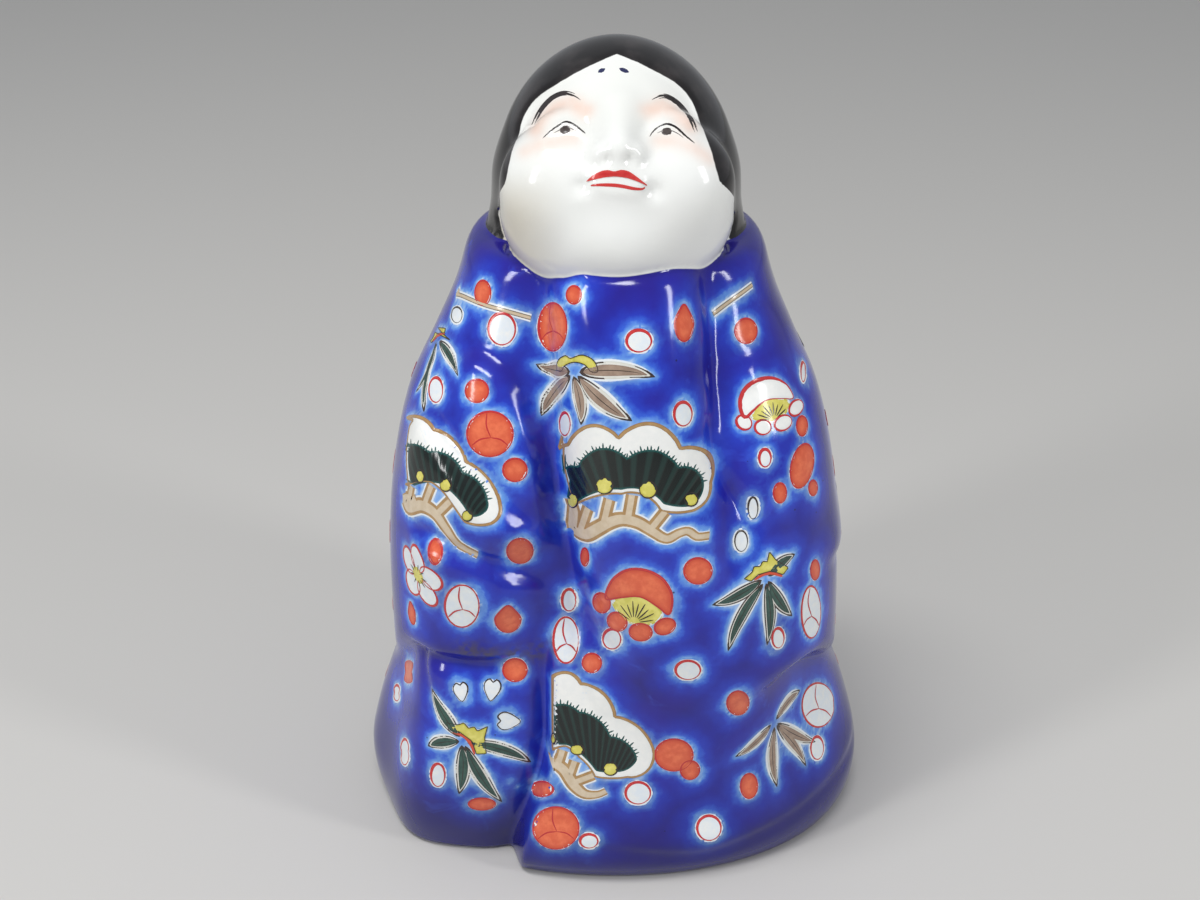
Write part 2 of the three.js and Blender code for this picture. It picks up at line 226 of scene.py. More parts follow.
def mirrored(path):
    return [(-turn, z) for turn, z in reversed(path)]


back_folds = [
    [(156, 54), (138, 64), (122, 78), (106, 98)],
    [(150, 32), (132, 40), (116, 52), (100, 68)],
]

# Folds of the cloth: a kind, and the points it runs through, as (degrees round from the front, height)
folds = [
    (LAP, [(-19, 66), (-21, 74), (-25, 86), (-31, 94), (-39, 99), (-49, 101), (-60, 99)]),
    (LAP, [(-19, 69), (-28, 75.5), (-35, 80), (-44, 85), (-54, 89), (-66, 91)]),
    (LAP, [(-18, 57), (-30, 64), (-38, 67.5), (-47, 69.5), (-60, 69)]),
    (TUCK, [(-60, 46), (-53, 41), (-49, 35), (-47, 27)]),
    (TUCK, [(-18, 76), (-14, 58), (-10.5, 46), (-6, 32)]),
    (TUCK, [(27, 96), (28, 88), (30, 83), (34, 78), (42, 71)]),
    (TUCK, [(33, 101), (42, 101), (53, 102.5)]),
    (TUCK, [(32, 95), (41, 95.5), (53, 97.5)]),
    (ELBOW, [(50, 66), (64, 60), (80, 59), (100, 66)]),
    (ROLL, [(-14, 10), (0, 9), (12, 7.5), (25, 6.5), (38, 8), (50, 9.5), (68, 11.5), (92, 12)]),
    *[(DRAPE, path) for path in back_folds],
    *[(DRAPE, mirrored(path)) for path in back_folds],
    (DRAPE, [(174, 100), (177, 82), (174, 64), (168, 44)]),
]


def spline(points, steps, closed=False):
    """A Catmull-Rom curve through the points, with that many steps in all or between two points."""
    p = np.array(points, float)
    if closed:
        p = np.vstack([p[-1], p, p[0], p[1]])
    else:
        p = np.vstack([2 * p[0] - p[1], p, 2 * p[-1] - p[-2]])
    spans = len(p) - 3
    at = np.linspace(0, spans, steps + 1)
    i = np.minimum(at.astype(int), spans - 1)
    t = (at - i)[:, None]
    a, b, c, d = p[i], p[i + 1], p[i + 2], p[i + 3]
    return 0.5 * (
        2 * b + (c - a) * t + (2 * a - 5 * b + 4 * c - d) * t**2 + (3 * b - a - 3 * c + d) * t**3
    )


def fold_lift(kind, path, along, z):
    """How far a fold lifts the cloth at places on the unrolled robe."""
    rise, reach, groove, width = kind
    points = spline([(math.radians(turn) * GIRTH_RADIUS, h) for turn, h in path], FOLD_STEPS)
    girth = 2 * math.pi * GIRTH_RADIUS
    along = along - girth * np.round((along - points[0, 0]) / girth)

    def into(end, after):
        way = (after - end) / np.linalg.norm(after - end)
        return (along - end[0]) * way[0] + (z - end[1]) * way[1]

    strength = smoothstep(into(points[0], points[1]), 0, FOLD_TAPER)
    strength *= smoothstep(into(points[-1], points[-2]), 0, FOLD_TAPER)
    nearest = np.full(np.broadcast(along, z).shape, np.inf)
    side = np.ones_like(nearest)
    for a, b in zip(points[:-1], points[1:]):
        wx, wz = b - a
        t = np.clip(((along - a[0]) * wx + (z - a[1]) * wz) / (wx * wx + wz * wz), 0, 1)
        dx = along - a[0] - t * wx
        dz = z - a[1] - t * wz
        gap = np.hypot(dx, dz)
        closer = gap < nearest
        nearest = np.where(closer, gap, nearest)
        side = np.where(closer, np.where(wx * dz - wz * dx < 0, -1, 1), side)
    signed = nearest * side
    slack = np.clip(1 - signed / reach, 0, 1)
    step = smoothstep(signed, -width, width) * slack * slack * (3 - 2 * slack)
    return strength * (rise * step - groove * np.exp(-((signed / width) ** 2)))


class FoldMap:
    """The lift of all the folds, worked out once over the unrolled robe."""

    STEP = 0.3

    def __init__(self):
        half = math.pi * GIRTH_RADIUS
        self.along = np.arange(-half, half + self.STEP, self.STEP)
        self.height = np.arange(-6, 124, self.STEP)
        grid = self.along[None, :], self.height[:, None]
        self.lift = sum(fold_lift(kind, path, *grid) for kind, path in folds)

    def __call__(self, along, z):
        u = np.clip((along - self.along[0]) / self.STEP, 0, len(self.along) - 1.001)
        v = np.clip((z - self.height[0]) / self.STEP, 0, len(self.height) - 1.001)
        i, j = u.astype(int), v.astype(int)
        s, t = u - i, v - j
        low = lerp(self.lift[j, i], self.lift[j, i + 1], s)
        high = lerp(self.lift[j + 1, i], self.lift[j + 1, i + 1], s)
        return lerp(low, high, t)


fold_map = FoldMap()


def side_sleeve(x, y, z, arm, edge):
    low, high, depth = edge
    lower_edge = lerp(low, high, smoothstep(-y, 0, depth))
    tube = smooth_max(column(x, y, arm(z), 2.2), z - COLLAR_TOP, 3)
    return smooth_max(tube, lower_edge - z, 4)


def lower_robe(x, y, z):
    """The skirt, whose front panel laps over the knee on -X."""
    cx, cy, half_width, front, back = skirt(z)
    edge = lerp(-18.4, -11.6, smoothstep(z, 0, 30))
    shown_front = lerp(np.minimum(front, 28.5), front, smoothstep(x, edge - 2, edge + 1.2))
    hem = smooth_max(column(x, y, (cx, cy, half_width, shown_front, back), 2.1), z - 54, 8)
    lap = smooth_max(column(x, y, knee(z), 3.2), z - KNEE_TOP, 5)
    return smooth_min(hem, lap, lerp(8, CREASE, smoothstep(x, -26, -18)))


def robe(x, y, z):
    collar = smooth_max(column(x, y, torso(z), 2.3), z - COLLAR_TOP, 3)
    left = side_sleeve(x, y, z, left_arm, LEFT_HEM)
    right = side_sleeve(x, y, z, right_arm, RIGHT_HEM)
    top_edge = SLEEVE_TOP - 2 * smoothstep(-x, 5, 9) - smoothstep(x, 8, 15)
    raised = smooth_max(column(x, y, sleeve(z), 2.5), z - top_edge, 3)
    front = smooth_max(raised, SLEEVE_END - z, 8)
    on_right = smoothstep(x, -2, 10)
    crease = lerp(
        lerp(7, CREASE, smoothstep(z, 38, 54)),
        lerp(9, CREASE, smoothstep(z, 56, 80)),
        on_right,
    )
    form = smooth_min(smooth_min(collar, left, 5), right, 5)
    form = smooth_min(form, lower_robe(x, y, z), lerp(CREASE, 3.5, on_right))
    form = smooth_min(form, front, crease)
    return form - fold_map(np.arctan2(x, -y) * GIRTH_RADIUS, z + 0 * x)


def head_frame(x, y, z):
    """u runs up the face and f out of it."""
    dy = y - HEAD_Y
    dz = z - HEAD_Z
    u = dy * math.sin(FACE_TILT) + dz * math.cos(FACE_TILT)
    f = dz * math.sin(FACE_TILT) - dy * math.cos(FACE_TILT)
    return u, f


# Swellings of the face: where they are across, up and out of it, their radii, and how softly they
# join what is there. Those to one side come in pairs.
JAW = ((0, -6.5, 4.5), (19.4, 15, 17), 5)
CHEEKS = ((9.2, -3, 13.2), (9.6, 8.8, 8.6), 4)
MOUTH = ((0, -4.5, 16.5), (7.5, 5.5, 6.8), 3)
CHIN = ((0, -12, 13.5), (7, 6, 6), 4)
EYELIDS = ((8.1, 4.6, 16.6), (4.4, 2.8, 3), 2)
NOSE_WINGS = ((2.5, -0.6, 22), (1.7, 1.6, 1.8), 1.2)
NOSE_TOP, NOSE_TIP = (0, 7, 17.6), (0, 0.4, 22.8)
SKULL = (17.6, 21.4, 20)


def with_swelling(form, swelling, x, u, f):
    (across, up, out), radii, softness = swelling
    return smooth_min(form, ellipsoid(np.abs(x) - across, u - up, f - out, *radii), softness)


def face(x, u, f):
    form = ellipsoid(x, u - 2, f, *SKULL)
    for swelling in (JAW, CHEEKS, MOUTH, CHIN, EYELIDS):
        form = with_swelling(form, swelling, x, u, f)
    form = smooth_min(form, capsule(x, u, f, NOSE_TOP, NOSE_TIP, 2, 2.3), 4)
    return with_swelling(form, NOSE_WINGS, x, u, f)


def hair_window(x, u, f):
    """The hair's outline: negative inside the window that the face looks out of."""
    half_width = np.where(x < 0, 17.0 - 0.215 * u, 14.9 - 0.27 * u) + 6 * smoothstep(-u, 4, 8)
    brow = u - (17.3 - 0.5 * np.abs(x))
    return np.maximum(smooth_max(np.abs(x) - half_width, brow, 3), -f - 2)


def hair(x, y, z, u, f):
    cap = ellipsoid(x, u - 0.5, f + 1.2, 20.4, 23.4, 22)
    mane = smooth_min(cap, smooth_max(column(x, y, hair_fall(z), 2.2), z - 134, 8), 3)
    return mane + HAIR_RELIEF * smoothstep(-hair_window(x, u, f), -0.9, 0.9)


def head(x, y, z):
    u, f = head_frame(x, y, z)
    return smooth_min(face(x, u, f), hair(x, y, z, u, f), HEAD_JOIN)


def figure(x, y, z):
    return smooth_max(smooth_min(robe(x, y, z), head(x, y, z), HEAD_JOIN), -z, FOOT_ROUNDING)


def grid_lines(low, high, coarse, fine, fine_from, fine_to):
    lines = [low]
    while lines[-1] < high:
        outside = max(fine_from - lines[-1], lines[-1] - fine_to, 0)
        lines.append(lines[-1] + lerp(fine, coarse, float(smoothstep(outside, 0, 8))))
    return np.array(lines)


def trace_surface(form, xs, ys, zs):
    """Surface nets: one vertex in each cell that the surface crosses, one quad across each crossed edge."""
    values = form(xs[None, None, :], ys[None, :, None], zs[:, None, None])
    inside = values < 0
    corners = [(c >> 2, (c >> 1) & 1, c & 1) for c in range(8)]
    nz, ny, nx = (n - 1 for n in inside.shape)
    count = sum(inside[k : k + nz, j : j + ny, i : i + nx].astype(int) for k, j, i in corners)
    ck, cj, ci = np.nonzero((count > 0) & (count < 8))
    found = np.zeros((len(ck), 3))
    crossings = np.zeros(len(ck))
    for a, (ak, aj, ai) in enumerate(corners):
        for axis in (1, 2, 4):
            if a & axis:
                continue
            bk, bj, bi = corners[a | axis]
            va = values[ck + ak, cj + aj, ci + ai]
            vb = values[ck + bk, cj + bj, ci + bi]
            crossed = (va < 0) != (vb < 0)
            t = np.where(crossed, va / np.where(crossed, va - vb, 1), 0)
            spot = np.stack(
                [
                    lerp(xs[ci + ai], xs[ci + bi], t),
                    lerp(ys[cj + aj], ys[cj + bj], t),
                    lerp(zs[ck + ak], zs[ck + bk], t),
                ],
                axis=1,
            )
            found += np.where(crossed[:, None], spot, 0)
            crossings += crossed
    vertex_of = np.full((nz, ny, nx), -1)
    vertex_of[ck, cj, ci] = np.arange(len(ck))

    quads = []
    ring = [(-1, -1), (0, -1), (0, 0), (-1, 0)]
    for axis in range(3):
        first, second = [a for a in (2, 1, 0) if a != axis]
        low = np.take(inside, range(inside.shape[axis] - 1), axis)
        high = np.take(inside, range(1, inside.shape[axis]), axis)
        edges = np.stack(np.nonzero(low != high), axis=1)
        outward = low[tuple(edges.T)]
        cells = []
        for da, db in ring:
            cell = edges.copy()
            cell[:, first] += da
            cell[:, second] += db
            cells.append(vertex_of[tuple(cell.T)])
        quad = np.stack(cells, axis=1)
        flip = outward if axis != 1 else ~outward
        quad[~flip] = quad[~flip][:, ::-1]
        quads.append(quad)
    return found / crossings[:, None], np.concatenate(quads)


def slope_of(form, p):
    eps = 0.05
    steps = np.eye(3) * eps
    return np.stack(
        [(form(*(p + s).T) - form(*(p - s).T)) / (2 * eps) for s in steps],
        axis=1,
    )


def settle(form, p, rounds):
    """Draws points onto the true surface, along the slope of the form."""
    for _ in range(rounds):
        slope = slope_of(form, p)
        steepness = np.maximum((slope**2).sum(1), 0.25)
        move = np.clip(form(*p.T) / steepness, -0.4, 0.4)
        p = p - slope * move[:, None]
    return p


def relax(form, p, quads, rounds):
    """Evens out the spacing of the vertices along the surface."""
    a = quads.ravel()
    b = np.roll(quads, 1, axis=1).ravel()
    ends = np.concatenate([a, b])
    others = np.concatenate([b, a])
    degree = np.bincount(ends, minlength=len(p))[:, None]
    for _ in range(rounds):
        mean = np.stack([np.bincount(ends, p[others, c], len(p)) for c in range(3)], axis=1) / degree
        slope = slope_of(form, p)
        normal = slope / np.maximum(np.linalg.norm(slope, axis=1), 1e-6)[:, None]
        shift = 0.6 * (mean - p)
        p = p + shift - normal * (shift * normal).sum(1)[:, None]
        p = settle(form, p, 1)
    return p


def trace_body():
    xs = grid_lines(-52, 52, 0.95, 0.72, -17, 17)
    ys = grid_lines(-43, 43, 0.95, 0.8, -38, -16)
    zs = grid_lines(-3, 153, 0.95, 0.66, 118, 146)
    points, quads = trace_surface(figure, xs, ys, zs)
    points = settle(figure, points, 3)
    return relax(figure, points, quads, 4), quads


# What is drawn on the face, in the head's x and u, in millimetres

LEFT_BROW = [(-13.7, 5.1), (-12.7, 7.8), (-11.2, 9.6), (-9.8, 10.4), (-8.3, 10.5), (-6.6, 9.6), (-4.8, 7.8)]
RIGHT_BROW = [(12.7, 3.3), (11.9, 5.3), (10.9, 7.6), (9.5, 9.1), (7.7, 9.9), (6.1, 9.4), (4.5, 8.1)]
LEFT_LID = [(-11.9, 2.3), (-10.5, 3.6), (-9.3, 4.4), (-8.2, 5.0), (-7.1, 4.6), (-6.0, 3.8), (-5.1, 3.0)]
RIGHT_LID = [(12.1, 1.5), (10.7, 2.7), (9.3, 4.0), (7.9, 4.6), (6.7, 4.2), (5.7, 3.5), (5.0, 2.4)]
LEFT_LID_FOLD = [(-10.4, 5.2), (-9.1, 5.9), (-7.7, 6.2), (-6.2, 5.6), (-4.8, 4.4), (-4.3, 3.2)]
RIGHT_LID_FOLD = [(4.3, 4.0), (5.0, 5.4), (6.5, 6.4), (8.0, 6.2), (9.6, 5.4)]
LEFT_BLUSH = [(-13.0, 4.4), (-12.0, 6.4), (-10, 8.3), (-7.4, 8.6), (-5.2, 7.0)]
RIGHT_BLUSH = [(4.9, 7.0), (7.1, 8.1), (9.3, 6.9), (11.4, 4.6)]
LEFT_UNDER_EYE = [(-14.6, 0.4), (-12.4, 1.2), (-9.9, 1.7), (-7.1, 2.2)]
RIGHT_UNDER_EYE = [(6.4, 1.7), (9.2, 1.7), (12, 0.7), (14.3, -0.8)]
UPPER_LIP = [(-4.9, -4.9), (-3.7, -4.0), (-2.3, -3.5), (-1.5, -3.45), (-0.6, -3.75), (0.5, -3.45),
             (1.6, -3.6), (2.7, -4.3), (3.8, -5.1), (4.8, -5.7), (2.7, -4.95), (1.3, -4.55),
             (-0.4, -4.35), (-2.0, -4.45), (-3.4, -4.7)]
LOWER_LIP = [(-4.2, -5.6), (-0.9, -5.7), (0.8, -5.9), (2.4, -6.2), (3.7, -6.2), (4.2, -5.9)]
UPPER_LIP_RIDGE = [(-3.4, -4.3), (-1.5, -3.9), (0.5, -3.9), (3.4, -4.8)]
LOWER_LIP_RIDGE = [(-2.6, -6.1), (0.0, -6.4), (2.8, -6.6)]
MOUTH_CORNERS = [(-5.9, -5.6), (5.8, -6.4)]
NOSTRILS = [(-1.9, -1.9), (1.9, -1.8)]
FOREHEAD_DABS = [[(-3.1, 13.75), (-2.0, 14.4)], [(0.3, 14.4), (1.8, 13.7)]]
SPECKS = [((-8.8, -9.0), 0.45), ((-7.3, -14.9), 0.35), ((9.4, 8.8), 0.25)]

# The finest modelling of the face: where it is, how far it is raised, and how wide it is
RIDGES = [(LEFT_LID, 0.25, 0.9), (RIGHT_LID, 0.25, 0.9), (LEFT_LID_FOLD, -0.28, 0.8),
          (RIGHT_LID_FOLD, -0.28, 0.8), (UPPER_LIP_RIDGE, 0.25, 1.2), (LOWER_LIP_RIDGE, 0.25, 1.1)]
DIMPLES = [(place, -0.75, 1.4) for place in MOUTH_CORNERS] + [(place, -0.55, 0.85) for place in NOSTRILS]


def gaps_to_line(x, u, path):
    """Distance from places on the face to an open path."""
    best = np.full(len(x), np.inf)
    for (ax, au), (bx, bu) in zip(path[:-1], path[1:]):
        wx, wu = bx - ax, bu - au
        t = np.clip(((x - ax) * wx + (u - au) * wu) / (wx * wx + wu * wu), 0, 1)
        best = np.minimum(best, np.hypot(x - ax - t * wx, u - au - t * wu))
    return best


def near_line(x, u, path, width):
    """1 on a path on the face, falling away to 0 over that width."""
    return np.exp(-((gaps_to_line(x, u, path) / width) ** 2))


def face_relief(points):
    """A height added to the body's surface, on the front of the head."""
    x, y, z = points.T
    u, f = head_frame(x, y, z)
    relief = sum(height * near_line(x, u, path, width) for path, height, width in RIDGES)
    for (across, up), height, width in DIMPLES:
        relief += height * np.exp(-(((x - across) ** 2 + (u - up) ** 2) / width**2))
    return relief * smoothstep(f, 9, 13)


def vertex_normals(points, quads):
    crossed = np.cross(points[quads[:, 2]] - points[quads[:, 0]], points[quads[:, 3]] - points[quads[:, 1]])
    summed = np.zeros_like(points)
    for corner in range(4):
        for c in range(3):
            summed[:, c] += np.bincount(quads[:, corner], crossed[:, c], len(points))
    return summed / np.maximum(np.linalg.norm(summed, axis=1), 1e-9)[:, None]


body_points, body_quads = trace_body()
body_points = body_points + vertex_normals(body_points, body_quads) * face_relief(body_points)[:, None]
body_normals = vertex_normals(body_points, body_quads)
body_tree = BVHTree.FromPolygons(body_points.tolist(), body_quads.tolist())


# Places for the pattern: charts laid against the surface

FORWARD = np.array([0, math.cos(CAMERA_PITCH), -math.sin(CAMERA_PITCH)])
PICTURE_UP = np.array([0, math.sin(CAMERA_PITCH), math.cos(CAMERA_PITCH)])
RIGHT = np.array([1.0, 0, 0])


def camera_ray(px, py):
    way = FORWARD * FOCAL_PIXELS + RIGHT * (px - PICTURE[0] / 2) + PICTURE_UP * (PICTURE[1] / 2 - py)
    return way / np.linalg.norm(way)


def hit(start, way):
    spot = body_tree.ray_cast(Vector(start), Vector(way))[0]
    return None if spot is None else np.array(spot)


def normal_at(spots, quads):
    """Smooth normals of the body at spots on those of its faces."""
    corners = body_quads[quads]
    gaps = np.linalg.norm(body_points[corners] - spots[:, None], axis=2)
    weights = 1 / (gaps + 0.05) ** 2
    normals = (body_normals[corners] * weights[..., None]).sum(1)
    return normals / np.linalg.norm(normals, axis=1)[:, None]


def tree_of(spots):
    tree = KDTree(len(spots))
    for i, spot in enumerate(spots):
        tree.insert(Vector(spot), i)
    tree.balance()
    return tree


def seen(px, py):
    """The spot on the form behind a pixel, or else the spot that comes nearest to it."""
    ray = camera_ray(px, py)
    spot = hit(CAMERA_AT, ray)
    if spot is None:
        spot = CAMERA_AT + ray * np.linalg.norm(CAMERA_AT)
        for _ in range(6):
            on_ray = CAMERA_AT + ray * ((spot - CAMERA_AT) @ ray)
            spot = np.array(body_tree.find_nearest(Vector(on_ray))[0])
    return spot


def outward(spot):
    quad = body_tree.find_nearest(Vector(spot))[2]
    return normal_at(spot[None], np.array([quad]))[0]


class Chart:
    """A flat frame laid against the form. Drawings are made in it, and then dropped onto the form."""

    def __init__(self, origin, right, normal, tilt=0.0, reach=9.0):
        self.origin = origin
        self.normal = normal
        level = right - normal * (right @ normal)
        level /= np.linalg.norm(level)
        rise = np.cross(normal, level)
        turn = math.radians(tilt)
        self.right = level * math.cos(turn) + rise * math.sin(turn)
        self.up = np.cross(normal, self.right)
        self.reach = reach

    def flat(self, drawn):
        return np.array(drawn, float)

    def flatten(self, spots):
        return np.stack([(spots - self.origin) @ self.right, (spots - self.origin) @ self.up], axis=1)

    def drop(self, flat):
        """Spots on the body under the flat ones, and the faces that they lie on."""
        level = self.origin + flat[:, :1] * self.right + flat[:, 1:] * self.up
        starts = level + self.normal * self.reach
        return dropped(starts, np.broadcast_to(-self.normal, starts.shape))


def dropped(starts, ways):
    spots, quads = [], []
    for start, way in zip(starts, ways):
        spot, _, quad, _ = body_tree.ray_cast(Vector(start), Vector(way))
        if spot is None:
            spot, _, quad, _ = body_tree.find_nearest(Vector(start + way * 9))
        spots.append(tuple(spot))
        quads.append(quad)
    return np.array(spots), np.array(quads)


# Where the form turns away from the camera, the steepest view allowed for and how far a place slides
GRAZING = 0.3
SLIDE_GRAZING = 0.5
SLIDE = 1.1
SLIDE_SLACK = 0.2


class PictureChart(Chart):
    """A chart for drawings whose outline is measured as the camera sees it."""

    def __init__(self, px, py, tilt=0.0):
        spot = seen(px, py)
        super().__init__(spot, RIGHT, outward(spot))
        self.pixel = np.array([px, py])
        self.tilt = tilt

    def flat(self, drawn):
        offsets = turned(drawn, self.tilt) * (PIXELS_PER_MM, -PIXELS_PER_MM)
        return np.array([self.flat_spot(*(self.pixel + offset)) for offset in offsets])

    def flat_spot(self, px, py):
        """The place on the chart behind a pixel, kept from sliding far off at the silhouette."""
        ray = camera_ray(px, py)
        facing = max(-ray @ self.normal, GRAZING)
        spot = hit(CAMERA_AT, ray)
        if spot is None or abs((spot - self.origin) @ self.normal) > self.reach:
            spot = CAMERA_AT + ray * ((CAMERA_AT - self.origin) @ self.normal / facing)
        flat = self.flatten(spot[None])[0]
        away = math.dist((px, py), self.pixel) / PIXELS_PER_MM
        furthest = away * SLIDE / max(facing, SLIDE_GRAZING) + SLIDE_SLACK
        return flat * min(1, furthest / max(np.linalg.norm(flat), 1e-6))


def at_pixel(px, py, tilt=0.0):
    """A chart on the form at a pixel of the picture, for drawings in real millimetres."""
    spot = seen(px, py)
    return Chart(spot, RIGHT, outward(spot), tilt)


def at_turn(turn, height, tilt=0.0):
    """A chart on the form, so many degrees round from the front and at that height."""
    angle = math.radians(turn)
    way = np.array([math.sin(angle), -math.cos(angle), 0])
    spot = hit(way * 90 + (0, 0, height), -way)
    level = np.array([math.cos(angle), math.sin(angle), 0])
    return Chart(spot, level, outward(spot), tilt)


def on_face():
    """A chart square to the face, whose drawings are in the head's x and u."""
    centre = np.array([0, HEAD_Y, HEAD_Z])
    normal = np.array([0, -math.cos(FACE_TILT), math.sin(FACE_TILT)])
    return Chart(centre, RIGHT, normal, reach=40)


# Drawing: patches and lines of enamel

# How far the layers stand off the body, and how much one coat of a layer adds
BASE_TOP, FILL_TOP, PALE_TOP, LINE_TOP, DOT_TOP = 0.05, 0.085, 0.09, 0.12, 0.15
COAT = 0.01
BEVEL = 0.22
SUNK = 0.02
# Spacing of the points along outlines, inside patches and along brush strokes
PATCH_STEP = 0.42
INNER_STEP = 0.62
LINE_STEP = 0.4
# The white left round a motif, and how far a fill reaches under its outline
MARGIN = 0.32
FILL_GROWTH = 0.07
LIP_GROWTH = 0.05
# A face longer than this spans a crease of the robe, and is left out
STRETCH_LIMIT = 1.6


class Enamel:
    """One enamel: all its patches and lines, gathered into one mesh."""

    def __init__(self, name, slot):
        self.name = name
        self.slot = slot
        self.spots, self.quads, self.heights, self.faces = [], [], [], []
        self.rim, self.across, self.along, self.seed = [], [], [], []
        self.count = 0

    def add(self, dropped_spots, heights, faces, rim, across, along, seed):
        spots, quads = dropped_spots
        self.spots.append(spots)
        self.quads.append(quads)
        self.heights.append(heights)
        for face in faces:
            ends = spots[list(face)]
            if np.ptp(ends, axis=0).max() < STRETCH_LIMIT:
                self.faces.append([i + self.count for i in face])
        for store, values in zip((self.rim, self.across, self.along), (rim, across, along)):
            store.append(values)
        self.seed.append(np.full(len(spots), seed))
        self.count += len(spots)

    def finish(self, material):
        spots = np.concatenate(self.spots)
        normals = normal_at(spots, np.concatenate(self.quads))
        points = spots + normals * np.concatenate(self.heights)[:, None]
        piece = new_mesh(self.name, points, self.faces)
        piece.data.normals_split_custom_set_from_vertices(normals.tolist())
        for label in ("rim", "across", "along", "seed"):
            store_values(piece.data, label, np.concatenate(getattr(self, label)))
        piece.data.materials.append(material)
        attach(piece, BODY)
        return piece


def new_mesh(name, points, faces):
    mesh = bpy.data.meshes.new(name)
    mesh.from_pydata((np.asarray(points) * MM).tolist(), [], faces)
    mesh.shade_smooth()
    return linked(name, mesh)


def linked(name, data):
    thing = bpy.data.objects.new(name, data)
    bpy.context.scene.collection.objects.link(thing)
    return thing


def store_values(mesh, label, values):
    attribute = mesh.attributes.new(label, "FLOAT", "POINT")
    attribute.data.foreach_set("value", np.asarray(values, np.float32))


def resample(points, step, closed):
    """Points along the same path, spaced evenly and close to that step."""
    path = np.vstack([points, points[:1]]) if closed else np.asarray(points)
    length = np.concatenate([[0], np.cumsum(np.linalg.norm(np.diff(path, axis=0), axis=1))])
    count = max(int(round(length[-1] / step)), 6 if closed else 2)
    at = np.linspace(0, length[-1], count + 1)
    if closed:
        at = at[:-1]
    return np.stack([np.interp(at, length, path[:, c]) for c in range(2)], axis=1)


def path_normals(points, closed):
    """Unit normals of a flat path, to the right of the way it runs."""
    if closed:
        way = np.roll(points, -1, axis=0) - np.roll(points, 1, axis=0)
    else:
        way = np.gradient(points, axis=0)
    way /= np.maximum(np.linalg.norm(way, axis=1), 1e-9)[:, None]
    return np.stack([way[:, 1], -way[:, 0]], axis=1)


def gaps_to_path(places, path):
    """Distance from each place to a closed path."""
    ends = np.roll(path, -1, axis=0)
    way = ends - path
    best = np.full(len(places), np.inf)
    for start, step in zip(path, way):
        offset = places - start
        t = np.clip(offset @ step / max(step @ step, 1e-9), 0, 1)
        best = np.minimum(best, np.linalg.norm(offset - t[:, None] * step, axis=1))
    return best


def is_inside(places, path):
    inside = np.zeros(len(places), bool)
    for (ax, ay), (bx, by) in zip(path, np.roll(path, -1, axis=0)):
        crosses = (ay > places[:, 1]) != (by > places[:, 1])
        at = ax + (places[:, 1] - ay) * (bx - ax) / (by - ay if by != ay else 1)
        inside ^= crosses & (places[:, 0] < at)
    return inside


def grown(outline, by):
    """The outline moved outwards, without the loops that this makes in its notches."""
    area = np.sum(outline[:, 0] * np.roll(outline[:, 1], -1) - np.roll(outline[:, 0], -1) * outline[:, 1])
    moved = outline + path_normals(outline, True) * by * (1 if area > 0 else -1)
    clear = gaps_to_path(moved, outline) > abs(by) * 0.9
    return moved[clear] if clear.sum() > 5 else outline


def hex_grid(low, high, step):
    rows = np.arange(low[1], high[1] + step, step * 0.866)
    grid = []
    for k, y in enumerate(rows):
        xs = np.arange(low[0] + (k % 2) * step / 2, high[0] + step, step)
        grid.append(np.stack([xs, np.full(len(xs), y)], axis=1))
    return np.concatenate(grid)


def patch(enamel, chart, drawn, low, top, grow=0.0, seed=0.5):
    """A raised pad of enamel inside a closed outline, whose rim is sunk into what lies below it."""
    outline = resample(chart.flat(drawn), PATCH_STEP, True)
    if grow:
        outline = resample(grown(outline, grow), PATCH_STEP, True)
    grid = hex_grid(outline.min(0), outline.max(0), INNER_STEP)
    grid = grid[is_inside(grid, outline)]
    grid = grid[gaps_to_path(grid, outline) > BEVEL * 0.8] if len(grid) else grid
    places = np.vstack([outline, grid])
    loop = list(range(len(outline)))
    flat, _, faces, *_ = geometry.delaunay_2d_cdt([Vector(p) for p in places], [], [loop], 1, 1e-5)
    flat = np.array([tuple(p) for p in flat])
    rim = gaps_to_path(flat, outline)
    heights = low - SUNK + (top - low + SUNK) * smoothstep(rim, 0, BEVEL)
    middle = (outline.max(0) + outline.min(0)) / 2
    half = np.maximum((outline.max(0) - outline.min(0)) / 2, 0.1)
    across, along = ((flat - middle) / half).T
    faces = [face if is_upright(flat, face) else face[::-1] for face in map(list, faces)]
    enamel.add(chart.drop(flat), heights, faces, rim, across, along, seed)
    return outline


def is_upright(flat, face):
    a, b, c = flat[face[0]], flat[face[1]], flat[face[2]]
    return (b[0] - a[0]) * (c[1] - a[1]) - (b[1] - a[1]) * (c[0] - a[0]) > 0


